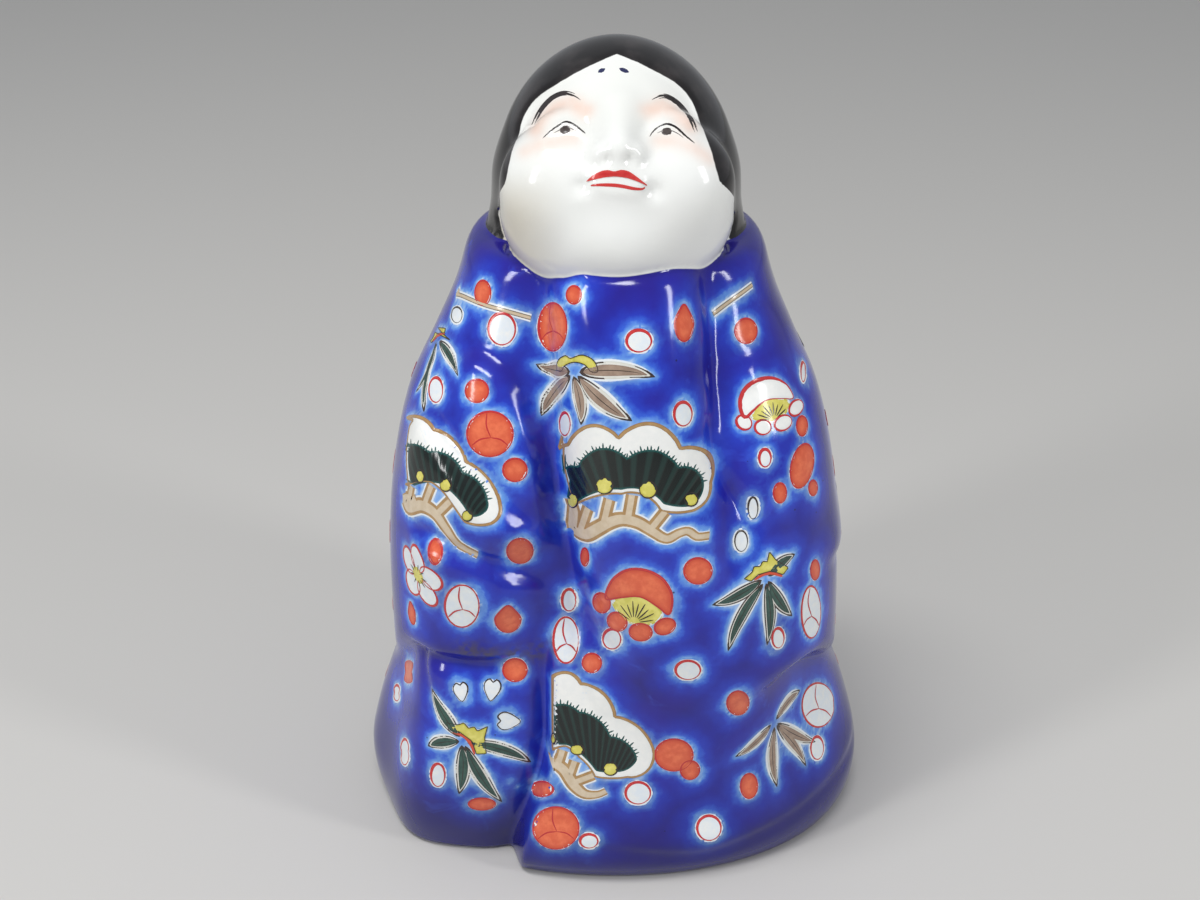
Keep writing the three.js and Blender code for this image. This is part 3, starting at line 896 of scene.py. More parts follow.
def line(enamel, chart, drawn, width, low, top, closed=False, pressure=None, seed=0.5):
    """A brush stroke along a path. The pressure gives its width at each part of the way along it."""
    path = resample(chart.flat(drawn), LINE_STEP, closed)
    t = np.linspace(0, 1, len(path), endpoint=not closed)
    half = np.full(len(path), width / 2) if pressure is None else width / 2 * pressure(t)
    columns = max(2 * int(math.ceil(half.max() / 0.45)), 4)
    sideways = np.linspace(-1, 1, columns + 1)
    normals = path_normals(path, closed)
    flat = path[:, None] + normals[:, None] * half[:, None, None] * sideways[None, :, None]
    flat = flat.reshape(-1, 2)
    rim = (half[:, None] * (1 - np.abs(sideways))).ravel()
    bevel = np.minimum(BEVEL, half.max() * 0.5)
    heights = low - SUNK + (top - low + SUNK) * smoothstep(rim, 0, bevel)
    rows = len(path)
    faces = []
    for i in range(rows if closed else rows - 1):
        for j in range(columns):
            a, b = i * (columns + 1) + j, ((i + 1) % rows) * (columns + 1) + j
            faces.append((a, a + 1, b + 1, b))
    across = np.tile(sideways, rows)
    enamel.add(chart.drop(flat), heights, faces, rim, across, np.repeat(t, columns + 1), seed)
    return flat


reserve = Enamel("white_reserves", "white_glaze")
snow = Enamel("white_petals_and_snow", "white_glaze")
red = Enamel("red_petals", "red_enamel")
red_lines = Enamel("red_outlines", "red_enamel")
green = Enamel("pine_needles", "green_enamel")
green_leaves = Enamel("green_bamboo_leaves", "green_enamel")
brown_leaves = Enamel("brown_bamboo_leaves", "brown_enamel")
pale_leaves = Enamel("pale_leaf_edges", "white_glaze")
dark_lines = Enamel("dark_outlines", "black_enamel")
gold_lines = Enamel("gold_brown_outlines", "brown_enamel")
brow_lines = Enamel("brows_and_lashes", "black_enamel")
irises = Enamel("irises", "black_enamel")
navy = Enamel("forehead_dabs", "cobalt_glaze")
lips = Enamel("lips", "red_enamel")
bark = Enamel("beige_branches", "brown_enamel")
yellow = Enamel("yellow_stamens_and_caps", "yellow_enamel")
edges_of_pattern = []


def reserved(chart, drawn, grow=MARGIN):
    """The white ground left round a motif. Its outline is where the blue glaze stops."""
    outline = patch(reserve, chart, drawn, 0, BASE_TOP, grow)
    edges_of_pattern.append(chart.drop(outline)[0])


def reserved_line(chart, drawn, width, pressure=None):
    flat = line(reserve, chart, drawn, width + 2 * MARGIN, 0, BASE_TOP, pressure=pressure)
    edges_of_pattern.append(chart.drop(flat)[0])


# Shapes in millimetres, y up

def turned(drawn, degrees):
    c, s = math.cos(math.radians(degrees)), math.sin(math.radians(degrees))
    return np.asarray(drawn, float) @ np.array([[c, s], [-s, c]])


def oval(width, height, at=(0, 0), tilt=0.0, point=0.0):
    """An egg shape. With point it comes to a tip at its top."""
    theta = np.linspace(0, 2 * math.pi, 36, endpoint=False)
    x = np.cos(theta) * (1 - point * smoothstep(np.sin(theta), 0, 1))
    shape = np.stack([x * width / 2, np.sin(theta) * height / 2], axis=1)
    return turned(shape, tilt) + at


def bulging(corners):
    """A closed outline of arcs. Each corner is x, y and how far the arc after it bulges outwards."""
    outline = []
    for (ax, ay, bulge), (bx, by, _) in zip(corners, corners[1:] + corners[:1]):
        t = np.linspace(0, 1, 12, endpoint=False)[:, None]
        way = np.array([bx - ax, by - ay])
        normal = np.array([-way[1], way[0]]) / np.linalg.norm(way)
        outline.append(np.array([ax, ay]) + t * way + normal * bulge * np.sin(math.pi * t) ** 0.75)
    return np.concatenate(outline)


def heavier_at(turn, low=0.7, high=1.5):
    """Brush pressure round an outline that is heaviest at one turn of it."""
    return lambda t: lerp(low, high, 0.5 + 0.5 * np.cos(2 * math.pi * (t - turn)))


def tapered(t):
    return 0.35 + 0.65 * np.sin(math.pi * np.clip(t, 0, 1)) ** 0.6


RING_WIDTH = 0.42


def red_pad(chart, shape, seed=0.5):
    """A red petal: a filled pad with a darker line round it."""
    patch(red, chart, shape, BASE_TOP, FILL_TOP, FILL_GROWTH, seed)
    line(red_lines, chart, shape, 0.3, BASE_TOP, LINE_TOP, True, heavier_at(0.35, 0.75, 1.3), seed)


def bud(chart, width, height, style, at=(0, 0), tilt=0.0, point=0.0):
    """A round bud. Red ones are filled, and white ones have a red or a brown ring."""
    shape = oval(width, height, at, tilt, point)
    reserved(chart, shape)
    if style == "red":
        red_pad(chart, shape, (width * 7.3 + height * 3.1) % 1)
        return
    inner = oval(width - RING_WIDTH, height - RING_WIDTH, at, tilt, point)
    enamel, thickness = (red_lines, RING_WIDTH) if style == "white" else (dark_lines, 0.26)
    line(enamel, chart, inner, thickness, BASE_TOP, LINE_TOP, True, heavier_at(0.33, 0.6, 1.5))


def split_bud(chart, width, height, style):
    """Three closed petals that meet in a forked line."""
    shape = oval(width, height)
    reserved(chart, shape)
    if style == "red":
        red_pad(chart, shape)
    else:
        line(red_lines, chart, shape, 0.34, BASE_TOP, LINE_TOP, True, heavier_at(0.5, 0.7, 1.4))
    fork = np.array([0.02, -0.08]) * (width, height)
    for angle, bend in ((98, 0.1), (213, -0.12), (327, 0.12)):
        tip = np.array([math.cos(math.radians(angle)) * width, math.sin(math.radians(angle)) * height]) * 0.47
        way = tip - fork
        bow = np.array([-way[1], way[0]]) * bend
        path = spline([fork, fork + way * 0.5 + bow, tip], 8)
        line(red_lines, chart, path, 0.3, FILL_TOP, LINE_TOP + COAT, pressure=tapered)


DOME = [(-5.2, -0.4), (-4.9, 2.6), (-3.0, 4.8), (-0.2, 5.5), (2.8, 4.8), (4.9, 2.6), (5.2, -0.4),
        (3.2, 0.3), (0.1, 1.2), (-3.0, 0.3)]
SIDE_PETALS = [(-5.6, -1.2, 2.7, 3.2, 30), (-2.5, -3.5, 3.2, 2.9, -20), (1.5, -4.2, 3.6, 2.8, 10),
               (5.0, -2.4, 3.4, 2.5, 35)]
FAN = [(-4.0, -0.9), (-2.7, 0.6), (0.1, 1.5), (2.9, 0.6), (4.2, -0.9), (2.9, -2.6), (0.8, -3.2),
       (-1.5, -3.0)]
FAN_FOOT = (0.1, -3.0)
STAMENS = 9


def side_blossom(chart, style, size=1.0, tilt=0.0):
    """A plum blossom from the side: a great petal, small ones under it, and stamens between."""
    petals = [turned(oval(w, h, (x, y), turn), tilt) * size for x, y, w, h, turn in SIDE_PETALS]
    dome = turned(spline(DOME, 40, closed=True)[:-1], tilt) * size
    fan = turned(spline(FAN, 36, closed=True)[:-1], tilt) * size
    for petal in petals + [dome, fan]:
        reserved(chart, petal)
    patch(yellow, chart, fan, BASE_TOP, FILL_TOP - 1.5 * COAT, seed=0.3)
    for petal in petals:
        if style == "red":
            red_pad(chart, petal, 0.2)
        else:
            patch(snow, chart, petal, FILL_TOP - 2 * COAT, FILL_TOP + COAT)
            line(red_lines, chart, petal, 0.32, FILL_TOP - 2 * COAT, LINE_TOP, True, heavier_at(0.4))
    patch(red if style == "red" else snow, chart, dome, FILL_TOP - 2 * COAT, FILL_TOP + 2 * COAT, seed=0.8)
    heavy = heavier_at(0.2, 0.4, 2.2) if style == "white" else heavier_at(0.3, 0.7, 1.4)
    line(red_lines, chart, dome, 0.36, FILL_TOP, LINE_TOP + 2 * COAT, True, heavy)
    for k in range(STAMENS):
        angle = math.radians(lerp(158, 22, k / (STAMENS - 1)))
        way = np.array([math.cos(angle), math.sin(angle)])
        path = turned([FAN_FOOT + way * 0.9, FAN_FOOT + way * (3.1 + 0.4 * (k % 2))], tilt) * size
        line(dark_lines, chart, path, 0.24, FILL_TOP, DOT_TOP, pressure=tapered)


def front_blossom(chart, radius, tilt=0.0, style="white"):
    """A plum blossom from the front: five round petals round a crown of stamens."""
    for k in range(5):
        angle = math.radians(90 + 72 * k + tilt)
        at = np.array([math.cos(angle), math.sin(angle)]) * radius * 0.58
        petal = oval(radius * 0.78, radius * 0.86, at, math.degrees(angle) - 90)
        reserved(chart, petal)
        if style == "red":
            red_pad(chart, petal, k / 5)
        else:
            line(red_lines, chart, petal, 0.34, BASE_TOP, LINE_TOP, True, heavier_at(0.25, 0.7, 1.5))
    reserved(chart, oval(radius * 0.7, radius * 0.7))
    patch(yellow, chart, oval(radius * 0.55, radius * 0.55), FILL_TOP, LINE_TOP, seed=0.4)
    for k in range(STAMENS):
        angle = 2 * math.pi * k / STAMENS
        way = np.array([math.cos(angle), math.sin(angle)]) * radius
        line(dark_lines, chart, [way * 0.16, way * 0.42], 0.2, LINE_TOP, DOT_TOP, pressure=tapered)


HEART = [(0, 0.72), (0.34, 1.0), (0.72, 0.62), (0.72, 0.1), (0.4, -0.55), (0, -1.0),
         (-0.4, -0.55), (-0.72, 0.1), (-0.72, 0.62), (-0.34, 1.0)]


def heart_petal(chart, size):
    """A fallen petal, notched at its wide end."""
    shape = spline(HEART, 36, closed=True)[:-1] * size
    reserved(chart, shape, 0.3)
    line(dark_lines, chart, shape, 0.2, BASE_TOP, LINE_TOP, True, heavier_at(0.1, 0.7, 1.4))


def leaf_profile(t):
    return np.sin(math.pi * np.clip(t, 0, 1) ** 0.85) ** 0.8 + 0.02


def leaf(chart, root, tip, width, enamel, bow):
    """A pointed leaf: a dark outline, a pale edge and a coloured blade with a dark vein."""
    root, tip = np.asarray(root, float), np.asarray(tip, float)
    way = tip - root
    side = np.array([-way[1], way[0]])
    path = spline([root, root + way * 0.35 + side * bow, root + way * 0.7 + side * bow, tip], 24)
    reserved_line(chart, path, width, leaf_profile)
    line(dark_lines, chart, path, width, BASE_TOP, FILL_TOP - COAT, pressure=leaf_profile)
    pale, blade = path[1:-1], path[1:-2]
    line(pale_leaves, chart, pale, width - 0.32, PALE_TOP - 2 * COAT, PALE_TOP, pressure=leaf_profile)
    line(enamel, chart, blade, width * 0.72, PALE_TOP - COAT, PALE_TOP + 2 * COAT, pressure=leaf_profile)
    line(dark_lines, chart, blade[2:-3], 0.18, FILL_TOP + 2 * COAT, LINE_TOP + COAT, pressure=tapered)


ARCH = [(-2.9, 0.5), (-2.6, 2.2), (-1.3, 3.0), (-0.4, 2.5), (1.6, 3.1), (3.7, 2.2), (4.6, 0.2),
        (3.4, 0.0), (2.2, 1.3), (0.3, 1.8), (-1.4, 1.2), (-2.0, 0.2)]
CROWN = [(-3.7, 2.4), (-1.6, 2.6), (-0.7, 3.3), (0.4, 2.6), (1.3, 3.2), (2.1, 2.6), (3.6, 4.0),
         (3.7, 1.9), (4.9, -0.8), (3.2, -1.4), (1.7, 0.6), (-1.0, 1.5), (-2.9, 1.2)]
CROWN_ARC = [(-2.2, 1.0), (0.2, 0.9), (1.9, -0.2), (2.9, -1.6)]


def bamboo(chart, tips, enamel, width, cap=None, cap_tilt=0.0, cap_size=1.0):
    """A spray of leaves from one node, under a pale sheath."""
    for k, tip in enumerate(tips):
        bow = (-1) ** k * 0.05
        root = np.asarray(tip, float) * 0.08
        leaf(chart, root, tip, width, enamel, bow)
    if cap == "arch":
        paint_sheath(chart, turned(spline(ARCH, 44, closed=True)[:-1], cap_tilt) * cap_size)
    if cap == "crown":
        paint_sheath(chart, turned(CROWN, cap_tilt) * cap_size)
        arc = turned(spline(CROWN_ARC, 10), cap_tilt) * cap_size
        line(red, chart, arc, 0.7, BASE_TOP, LINE_TOP, pressure=tapered)


def paint_sheath(chart, shape):
    reserved(chart, shape, 0.25)
    patch(yellow, chart, shape, FILL_TOP, LINE_TOP - COAT, seed=0.7)
    line(dark_lines, chart, shape, 0.18, FILL_TOP, LINE_TOP + COAT, True)


# Pines, each drawn from its own outlines: cloud, needles, cones, trunk and twigs

TRUNK_WIDTH = 3.0
TWIG_WIDTH = 2.3
LIMB_OUTLINES = 0.85
CENTRE_PINE = {
    "cloud": [(-11.4, -6.2, 0.6), (-13.0, 2.4, 1.2), (-11.4, 5.5, 2.9), (-2.3, 6.7, 3.6), (9.0, 4.8, 3.1),
              (14.4, -1.4, 1.4), (10.4, -6.6, 0.3), (5.4, -6.4, -1.4), (-1.7, -3.4, -0.9)],
    "needles": [(-10.2, -5.4, 0.7), (-12.7, -0.2, 1.0), (-9.7, 1.6, 2.6), (-0.7, 3.1, 2.3), (8.7, 1.5, 1.2),
                (13.2, -1.2, 0.8), (10.8, -5.7, 0.3), (5.8, -5.2, -1.2), (-1.7, -2.7, -0.9)],
    "cones": [(-10.5, -4.6, 1.8, 2.6), (-4.8, -1.9, 3.1, 3.0), (3.1, -2.6, 3.1, 3.1), (10.9, -4.4, 2.4, 2.5)],
    "trunk": [(-11.6, -7.4), (-10.6, -9.6), (-8.4, -10.8), (-6.2, -9.8), (-4.0, -8.6), (-1.6, -8.0),
              (1.2, -8.6), (3.6, -10.0), (6.4, -11.6), (8.6, -10.6), (10.4, -10.2), (12.0, -11.2),
              (14.2, -11.0)],
    "twigs": [[(-9.2, -10.2), (-7.8, -6.0)], [(-5.0, -9.0), (-3.9, -4.4)], [(-0.6, -8.2), (0.2, -3.6)],
              [(3.6, -9.8), (6.2, -6.6)]],
}
LEFT_PINE = {
    "cloud": [(-8.9, -3.3, 0.3), (-8.9, 8.4, 1.9), (-2.0, 7.3, 1.2), (3.8, 1.5, 1.3), (10.0, -6.5, 0.8),
              (8.0, -9.8, 0.4), (3.5, -9.3, 0.0), (0.4, -4.9, -0.2), (-2.4, -2.2, -0.3), (-6.0, -2.5, -0.1)],
    "needles": [(-8.3, -1.8, 0.2), (-8.5, 4.0, 1.1), (-2.9, 3.4, 1.3), (3.3, -0.4, 1.1), (7.8, -5.6, 0.5),
                (6.9, -8.0, 0.3), (4.4, -8.4, -0.6), (-0.9, -2.5, -0.4), (-5.6, -2.9, 0.0)],
    "cones": [(-4.5, -1.1, 1.6, 2.5), (0.2, -2.7, 2.1, 2.3), (4.1, -8.3, 1.9, 1.9)],
    "trunk": [(-8.2, -5.0), (-6.6, -6.8), (-4.2, -6.4), (-1.8, -7.8), (0.2, -10.6), (2.4, -13.4),
              (6.0, -15.4)],
    "twigs": [[(-6.6, -6.4), (-6.2, -3.0)], [(-3.8, -6.6), (-2.4, -2.8)], [(-1.4, -8.0), (1.0, -5.6)]],
}
LOWER_PINE = {
    "cloud": [(-8.6, -3.6, 0.0), (-8.6, 9.7, 1.4), (-3.5, 8.4, 1.6), (2.7, 2.4, 1.6), (9.8, -4.2, 1.6),
              (4.9, -8.5, 0.3), (-0.9, -8.4, -0.3), (-3.8, -4.9, -0.2), (-6.2, -2.9, -0.2)],
    "needles": [(-8.4, -2.6, 0.0), (-8.3, 4.6, 0.7), (-3.8, 3.4, 1.1), (1.9, -1.1, 1.1), (6.8, -5.3, 0.7),
                (2.9, -7.6, 0.2), (-0.8, -7.4, -0.4), (-5.9, -2.7, 0.0)],
    "cones": [(-8.4, -1.5, 0.8, 2.0), (-4.1, -3.5, 2.5, 1.9), (1.9, -7.0, 2.6, 2.4)],
    "trunk": [(-8.9, -5.7), (-7.9, -6.2), (-6.4, -7.4), (-4.7, -10.0), (-2.8, -11.6), (-0.5, -11.7),
              (1.1, -11.1)],
    "twigs": [[(-7.6, -6.2), (-6.8, -3.6)], [(-5.6, -8.4), (-4.6, -5.6)], [(-4.4, -9.4), (-1.2, -8.2)]],
}


def fringe(chart, needles):
    """The needles' tips, brushed outwards along the upper edge."""
    edge = resample(needles, 0.6, True)
    outwards = path_normals(edge, True)
    if np.sum((edge - edge.mean(0)) * outwards) < 0:
        outwards = -outwards
    for k, (spot, way) in enumerate(zip(edge, outwards)):
        if way[1] > 0.15:
            reach = 0.55 + 0.35 * math.sin(2.4 * k)
            tip = [spot - way * 0.5, spot + way * reach]
            line(green, chart, tip, 0.3, FILL_TOP, LINE_TOP, pressure=tapered)


def thinning(end):
    """Brush pressure that thins out to this part of the full width."""
    return lambda t: lerp(1, end, smoothstep(t, 0.4, 1))


def pine(chart, drawing, tilt=0.0, size=1.0):
    """A pine as a scalloped cloud: snow on top, needles under it, cones, and a branch below."""
    def placed(drawn):
        return turned(drawn, tilt) * size

    cloud = placed(bulging(drawing["cloud"]))
    reserved(chart, cloud, 0.3)
    patch(snow, chart, cloud, BASE_TOP - COAT, FILL_TOP - 2 * COAT)
    limbs = [(placed(spline(drawing["trunk"], 36)), TRUNK_WIDTH, thinning(0.5))]
    limbs += [(placed(twig), TWIG_WIDTH, thinning(1)) for twig in drawing["twigs"]]
    for path, width, grip in limbs:
        reserved_line(chart, path, width * size, grip)
        line(gold_lines, chart, path, width * size, BASE_TOP, FILL_TOP + COAT, pressure=grip)
    for path, width, grip in limbs:
        inner = (width - LIMB_OUTLINES) * size
        line(bark, chart, path, inner, FILL_TOP, FILL_TOP + 3 * COAT, pressure=grip)
    needles = placed(bulging(drawing["needles"]))
    patch(green, chart, needles, FILL_TOP, FILL_TOP + 3.5 * COAT)
    fringe(chart, needles)
    line(gold_lines, chart, cloud, 0.5, FILL_TOP - 2 * COAT, LINE_TOP + COAT, True, heavier_at(0.4, 0.7, 1.3))
    for x, y, width, height in drawing["cones"]:
        cone = placed(oval(width, height, (x, y)))
        patch(yellow, chart, cone, LINE_TOP - COAT, DOT_TOP)
        line(dark_lines, chart, cone, 0.2, LINE_TOP - COAT, DOT_TOP + COAT, True, heavier_at(0.9))


# The pattern on the front, as (pixel x, pixel y, width, height) with sizes in pixels

RED_BUDS = [
    (483, 293, 16, 25), (477, 391, 23, 23), (515, 470, 24, 23), (520, 551, 26, 25), (436, 551, 13, 25),
    (515, 670, 24, 23), (482, 804, 27, 12), (542, 789, 22, 15), (592, 663, 19, 19), (698, 571, 28, 26),
    (738, 703, 22, 24), (749, 786, 17, 25), (574, 295, 15, 18), (746, 331, 22, 25), (780, 493, 13, 20),
    (802, 426, 11, 20), (690, 770, 19, 19), (674, 755, 38, 32), (815, 570, 9, 20), (405, 395, 7, 20),
    (409, 672, 13, 22), (585, 557, 8, 18),
]
TALL_RED_BUDS = [(684, 323, 19, 37), (508, 619, 26, 27)]
WHITE_BUDS = [
    (502, 329, 29, 34), (436, 390, 16, 27), (438, 775, 16, 25), (405, 752, 11, 28), (565, 424, 13, 25),
    (683, 414, 20, 26), (639, 341, 27, 24), (765, 458, 14, 20), (612, 639, 20, 22), (688, 670, 27, 21),
    (638, 793, 27, 24), (709, 828, 26, 27), (778, 638, 14, 22), (817, 748, 15, 25), (569, 600, 16, 24),
    (589, 841, 20, 16), (803, 372, 7, 22), (397, 693, 9, 18),
]
BROWN_RINGED_BUDS = [(457, 315, 13, 18), (753, 508, 12, 24), (741, 541, 15, 23), (450, 272, 8, 16)]
RED_SPLIT_BUDS = [(490, 434, 46, 45), (556, 828, 46, 42), (553, 327, 28, 48)]
WHITE_SPLIT_BUDS = [(462, 606, 34, 42), (566, 640, 25, 46), (811, 612, 19, 52), (818, 705, 32, 44)]
# Fallen petals, as (pixel x, pixel y, size in millimetres, tilt)
HEART_PETALS = [(461, 692, 1.75, 8), (492, 690, 2.0, -8), (509, 721, 2.1, 88)]
# The pixels that the collar's edge runs through
COLLAR_LEFT = [(447, 289), (463, 296), (482, 304), (506, 311), (531, 318)]
COLLAR_RIGHT = [(713, 314), (726, 304), (740, 294), (752, 285)]


def draw_each(draw, marks, style, **settings):
    """The same drawing at each of these places in the picture, as large as it is there."""
    for px, py, width, height in marks:
        draw(PictureChart(px, py), width / PIXELS_PER_MM, height / PIXELS_PER_MM, style, **settings)


def from_pixels(middle, pixels):
    """Places in the picture, in millimetres from the middle one, y up."""
    return [((x - middle[0]) / PIXELS_PER_MM, (middle[1] - y) / PIXELS_PER_MM) for x, y in pixels]


draw_each(bud, RED_BUDS, "red")
draw_each(bud, TALL_RED_BUDS, "red", point=0.45)
draw_each(bud, WHITE_BUDS, "white")
draw_each(bud, BROWN_RINGED_BUDS, "brown")
draw_each(split_bud, RED_SPLIT_BUDS, "red")
draw_each(split_bud, WHITE_SPLIT_BUDS, "white")
for px, py, size, tilt in HEART_PETALS:
    heart_petal(PictureChart(px, py, tilt), size)

twin_buds = PictureChart(802, 466)
bud(twin_buds, 4.0, 8.2, "red", tilt=-12)
bud(twin_buds, 1.6, 2.8, "red", at=(2.0, -4.0))

pine(PictureChart(631, 475), CENTRE_PINE)
pine(PictureChart(445, 470), LEFT_PINE)
pine(PictureChart(600, 730), LOWER_PINE)
side_blossom(PictureChart(638, 604, -14), "red", 1.15)
side_blossom(PictureChart(768, 406, 22), "white", 0.92)
front_blossom(at_pixel(418, 575), 6.0)
bud(PictureChart(435, 552), 2.4, 4.6, "red")
bud(PictureChart(412, 613), 1.2, 4.2, "red", tilt=8, point=0.4)


def collar(path):
    """The collar's edge: a beige band between two brown lines."""
    middle = path[len(path) // 2]
    chart = PictureChart(*middle)
    flat = spline(from_pixels(middle, path), 24)
    reserved_line(chart, flat, 0.95)
    line(dark_lines, chart, flat, 0.95, BASE_TOP, FILL_TOP - COAT)
    line(bark, chart, flat, 0.6, FILL_TOP - COAT, FILL_TOP + 3 * COAT)


collar(COLLAR_LEFT)
collar(COLLAR_RIGHT)

# The pattern on the back and sides, at so many degrees round from the front and at that height

pine(at_turn(122, 66), CENTRE_PINE, 8, 0.9)
pine(at_turn(-128, 52), LEFT_PINE, -6, 1.0)
pine(at_turn(178, 34), LOWER_PINE, 4, 1.0)
side_blossom(at_turn(180, 76), "red", 1.0, -10)
side_blossom(at_turn(-104, 78), "red", 0.9, 15)
side_blossom(at_turn(108, 32), "white", 0.95, -8)
front_blossom(at_turn(-152, 88), 5.5)
front_blossom(at_turn(148, 40), 6.0, 20, "red")
SPRAY = [(-5.6, -4.4), (-3.4, -8.6), (0.8, -9.6), (4.6, -7.4), (6.4, -2.6)]
bamboo(at_turn(152, 94), SPRAY, brown_leaves, 3.0, "arch")
bamboo(at_turn(-168, 56, 10), SPRAY, green_leaves, 2.7, "crown")
bamboo(at_turn(-108, 28, -12), SPRAY, green_leaves, 2.7, "crown")
bamboo(at_turn(96, 92, 14), SPRAY, green_leaves, 2.4, "crown")
SPLIT_BUDS_BEHIND = [(138, 82, "red"), (-140, 26, "white"), (160, 58, "white"), (-120, 92, "red"),
                     (-92, 56, "white"), (98, 52, "red")]
for turn, height, style in SPLIT_BUDS_BEHIND:
    split_bud(at_turn(turn, height), 6.0, 6.6, style)

BUD_TRIALS = 420
BUD_ROOM = 2.2
BUD_SPACING = 8.0
BUD_TURNS = (72, 288)
BUD_HEIGHTS = (12, 98)
# Steps that spread places evenly, whatever their number
TURN_STEP, HEIGHT_STEP = 0.618034, 0.754878


def scatter_buds():
    """Small buds spread evenly over the parts that the front doesn't show, wherever they have room."""
    taken = tree_of(np.concatenate(edges_of_pattern))
    placed = []
    for k in range(BUD_TRIALS):
        turn = lerp(*BUD_TURNS, k * TURN_STEP % 1)
        height = lerp(*BUD_HEIGHTS, k * HEIGHT_STEP % 1)
        width, tall = 3.2 + 0.9 * math.sin(k), 3.7 + 1.0 * math.sin(2.3 * k)
        chart = at_turn(turn, height, 20 * math.sin(1.7 * k))
        spot = chart.origin
        in_front = chart.normal @ (CAMERA_AT - spot) > 0
        near = min((math.dist(spot, other) for other in placed), default=99)
        if in_front or near < BUD_SPACING or taken.find(Vector(spot))[2] < BUD_ROOM + tall / 2:
            continue
        placed.append(spot)
        bud(chart, width, tall, ("red", "white", "red", "brown", "white")[len(placed) % 5])


scatter_buds()


# The face, drawn in the head's own x and u

def brow(chart, path):
    """A soft brow: fine strokes side by side, bunched in the middle and loose at the ends."""
    path = spline(path, 30)
    normals = path_normals(path, False)
    for k in range(5):
        start = 1 + 2 * (k % 3)
        stroke = (path + normals * (k - 2) * 0.17)[start:28 - 3 * ((k + 1) % 3)]
        line(brow_lines, chart, stroke, 0.36, 0, 0.035, pressure=tapered, seed=k / 5)


def eye(chart, lid, iris, seed):
    """A narrow eye: an upper lid, the iris hung from it and a faint lower line."""
    lid = spline(lid, 24)
    patch(irises, chart, oval(1.9, 1.7, iris), 0, 0.035, seed=seed)
    line(brow_lines, chart, lid, 0.42, 0, 0.05, pressure=tapered)
    middle = lid.mean(0)
    lower = [(x, y + (middle[1] - y) * 0.2 - 0.75) for x, y in lid[5:19]]
    line(irises, chart, lower, 0.18, 0, 0.03, pressure=tapered, seed=1.0)


def draw_face():
    chart = on_face()
    brow(chart, LEFT_BROW)
    brow(chart, RIGHT_BROW)
    eye(chart, LEFT_LID, (-8.3, 3.75), 0.0)
    eye(chart, RIGHT_LID, (7.7, 3.45), 0.5)
    for dab in FOREHEAD_DABS:
        line(navy, chart, dab, 0.95, 0, 0.05, pressure=tapered)
    patch(lips, chart, UPPER_LIP, 0.1, 0.2, LIP_GROWTH)
    line(lips, chart, spline(LOWER_LIP, 16), 0.55, 0.06, 0.14, pressure=tapered)
    for place, size in SPECKS:
        patch(dark_lines, chart, oval(size, size * 0.8, place), 0, 0.03)


draw_face()


# Bamboo on the front: the pixel of the node, and those of the leaves' tips

SLEEVE_NODE, SLEEVE_TIPS = (573, 372), [(536, 364), (541, 416), (581, 425), (632, 421), (655, 377)]
SHOULDER_NODE, SHOULDER_TIPS = (438, 338), [(416, 392), (424, 412), (458, 376)]
KNEE_NODE, KNEE_TIPS = (462, 741), [(432, 688), (428, 746), (459, 794), (502, 802), (531, 762)]
ARM_NODE, ARM_TIPS = (766, 578), [(712, 605), (728, 651), (767, 645), (792, 616), (795, 554)]
HEM_NODE, HEM_TIPS = (774, 722), [(735, 757), (777, 787), (806, 766), (816, 742), (800, 690)]


def bamboo_in_front(node, tips, enamel, width, **cap):
    bamboo(PictureChart(*node), from_pixels(node, tips), enamel, width, **cap)


bamboo_in_front(SLEEVE_NODE, SLEEVE_TIPS, brown_leaves, 3.2, cap="arch")
bamboo_in_front(SHOULDER_NODE, SHOULDER_TIPS, green_leaves, 2.2, cap="crown", cap_tilt=60, cap_size=0.45)
bamboo_in_front(KNEE_NODE, KNEE_TIPS, green_leaves, 3.0, cap="crown", cap_tilt=-18)
bamboo_in_front(ARM_NODE, ARM_TIPS, green_leaves, 2.7, cap="crown", cap_tilt=35, cap_size=0.9)
bamboo_in_front(HEM_NODE, HEM_TIPS, brown_leaves, 2.6)


# The body

CREASE_PROBE = 1.6
DIRTY_CREASE = [(470, 650), (490, 655), (512, 655), (535, 652), (558, 646)]
WORN_HAIR = [(484, 240), (488, 250), (493, 262)]


def body_values(points):
    """What the glazes are told apart by, at each vertex of the body, and where painted shade goes."""
    x, y, z = points.T
    u, f = head_frame(x, y, z)
    out = points + body_normals * CREASE_PROBE
    blush = sum(near_line(x, u, path, 1.5) for path in (LEFT_BLUSH, RIGHT_BLUSH))
    blush += 0.6 * sum(near_line(x, u, path, 1.4) for path in (LEFT_UNDER_EYE, RIGHT_UNDER_EYE))
    return {
        "above_robe": robe(x, y, z) - head(x, y, z),
        "window": hair_window(x, u, f),
        "blush": blush * smoothstep(f, 4, 9),
        # Painted shade on the lower-left cheek, tinted warm.
        "painted_cheek_shade": smoothstep(-x, 7, 19) * smoothstep(-u, 1, 11),
        "halo": distance_to(edges_of_pattern, points),
        "dirt": near_pixels(DIRTY_CREASE, 2.4, points),
        "worn": near_pixels(WORN_HAIR, 2.2, points),
        # How closely the surface faces more of itself: it darkens the creases, partly glaze gathered in the
        # hollows and partly painted shade.
        "crease": 1 - figure(*out.T) / CREASE_PROBE,
    }


def distance_to(groups, points):
    tree = tree_of(np.concatenate(groups))
    return np.array([tree.find(Vector(p))[2] for p in points])


def near_pixels(pixels, width, points):
    """1 at the places seen at these pixels, falling away to 0 over that width."""
    spots = np.array([seen(px, py) for px, py in pixels])
    return np.exp(-((distance_to([spots], points) / width) ** 2))


def make_body():
    piece = new_mesh("porcelain_body", body_points, body_quads.tolist())
    for label, values in body_values(body_points).items():
        store_values(piece.data, label, values)
    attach(piece, BODY)
    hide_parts(NODE)
    return piece


# Materials

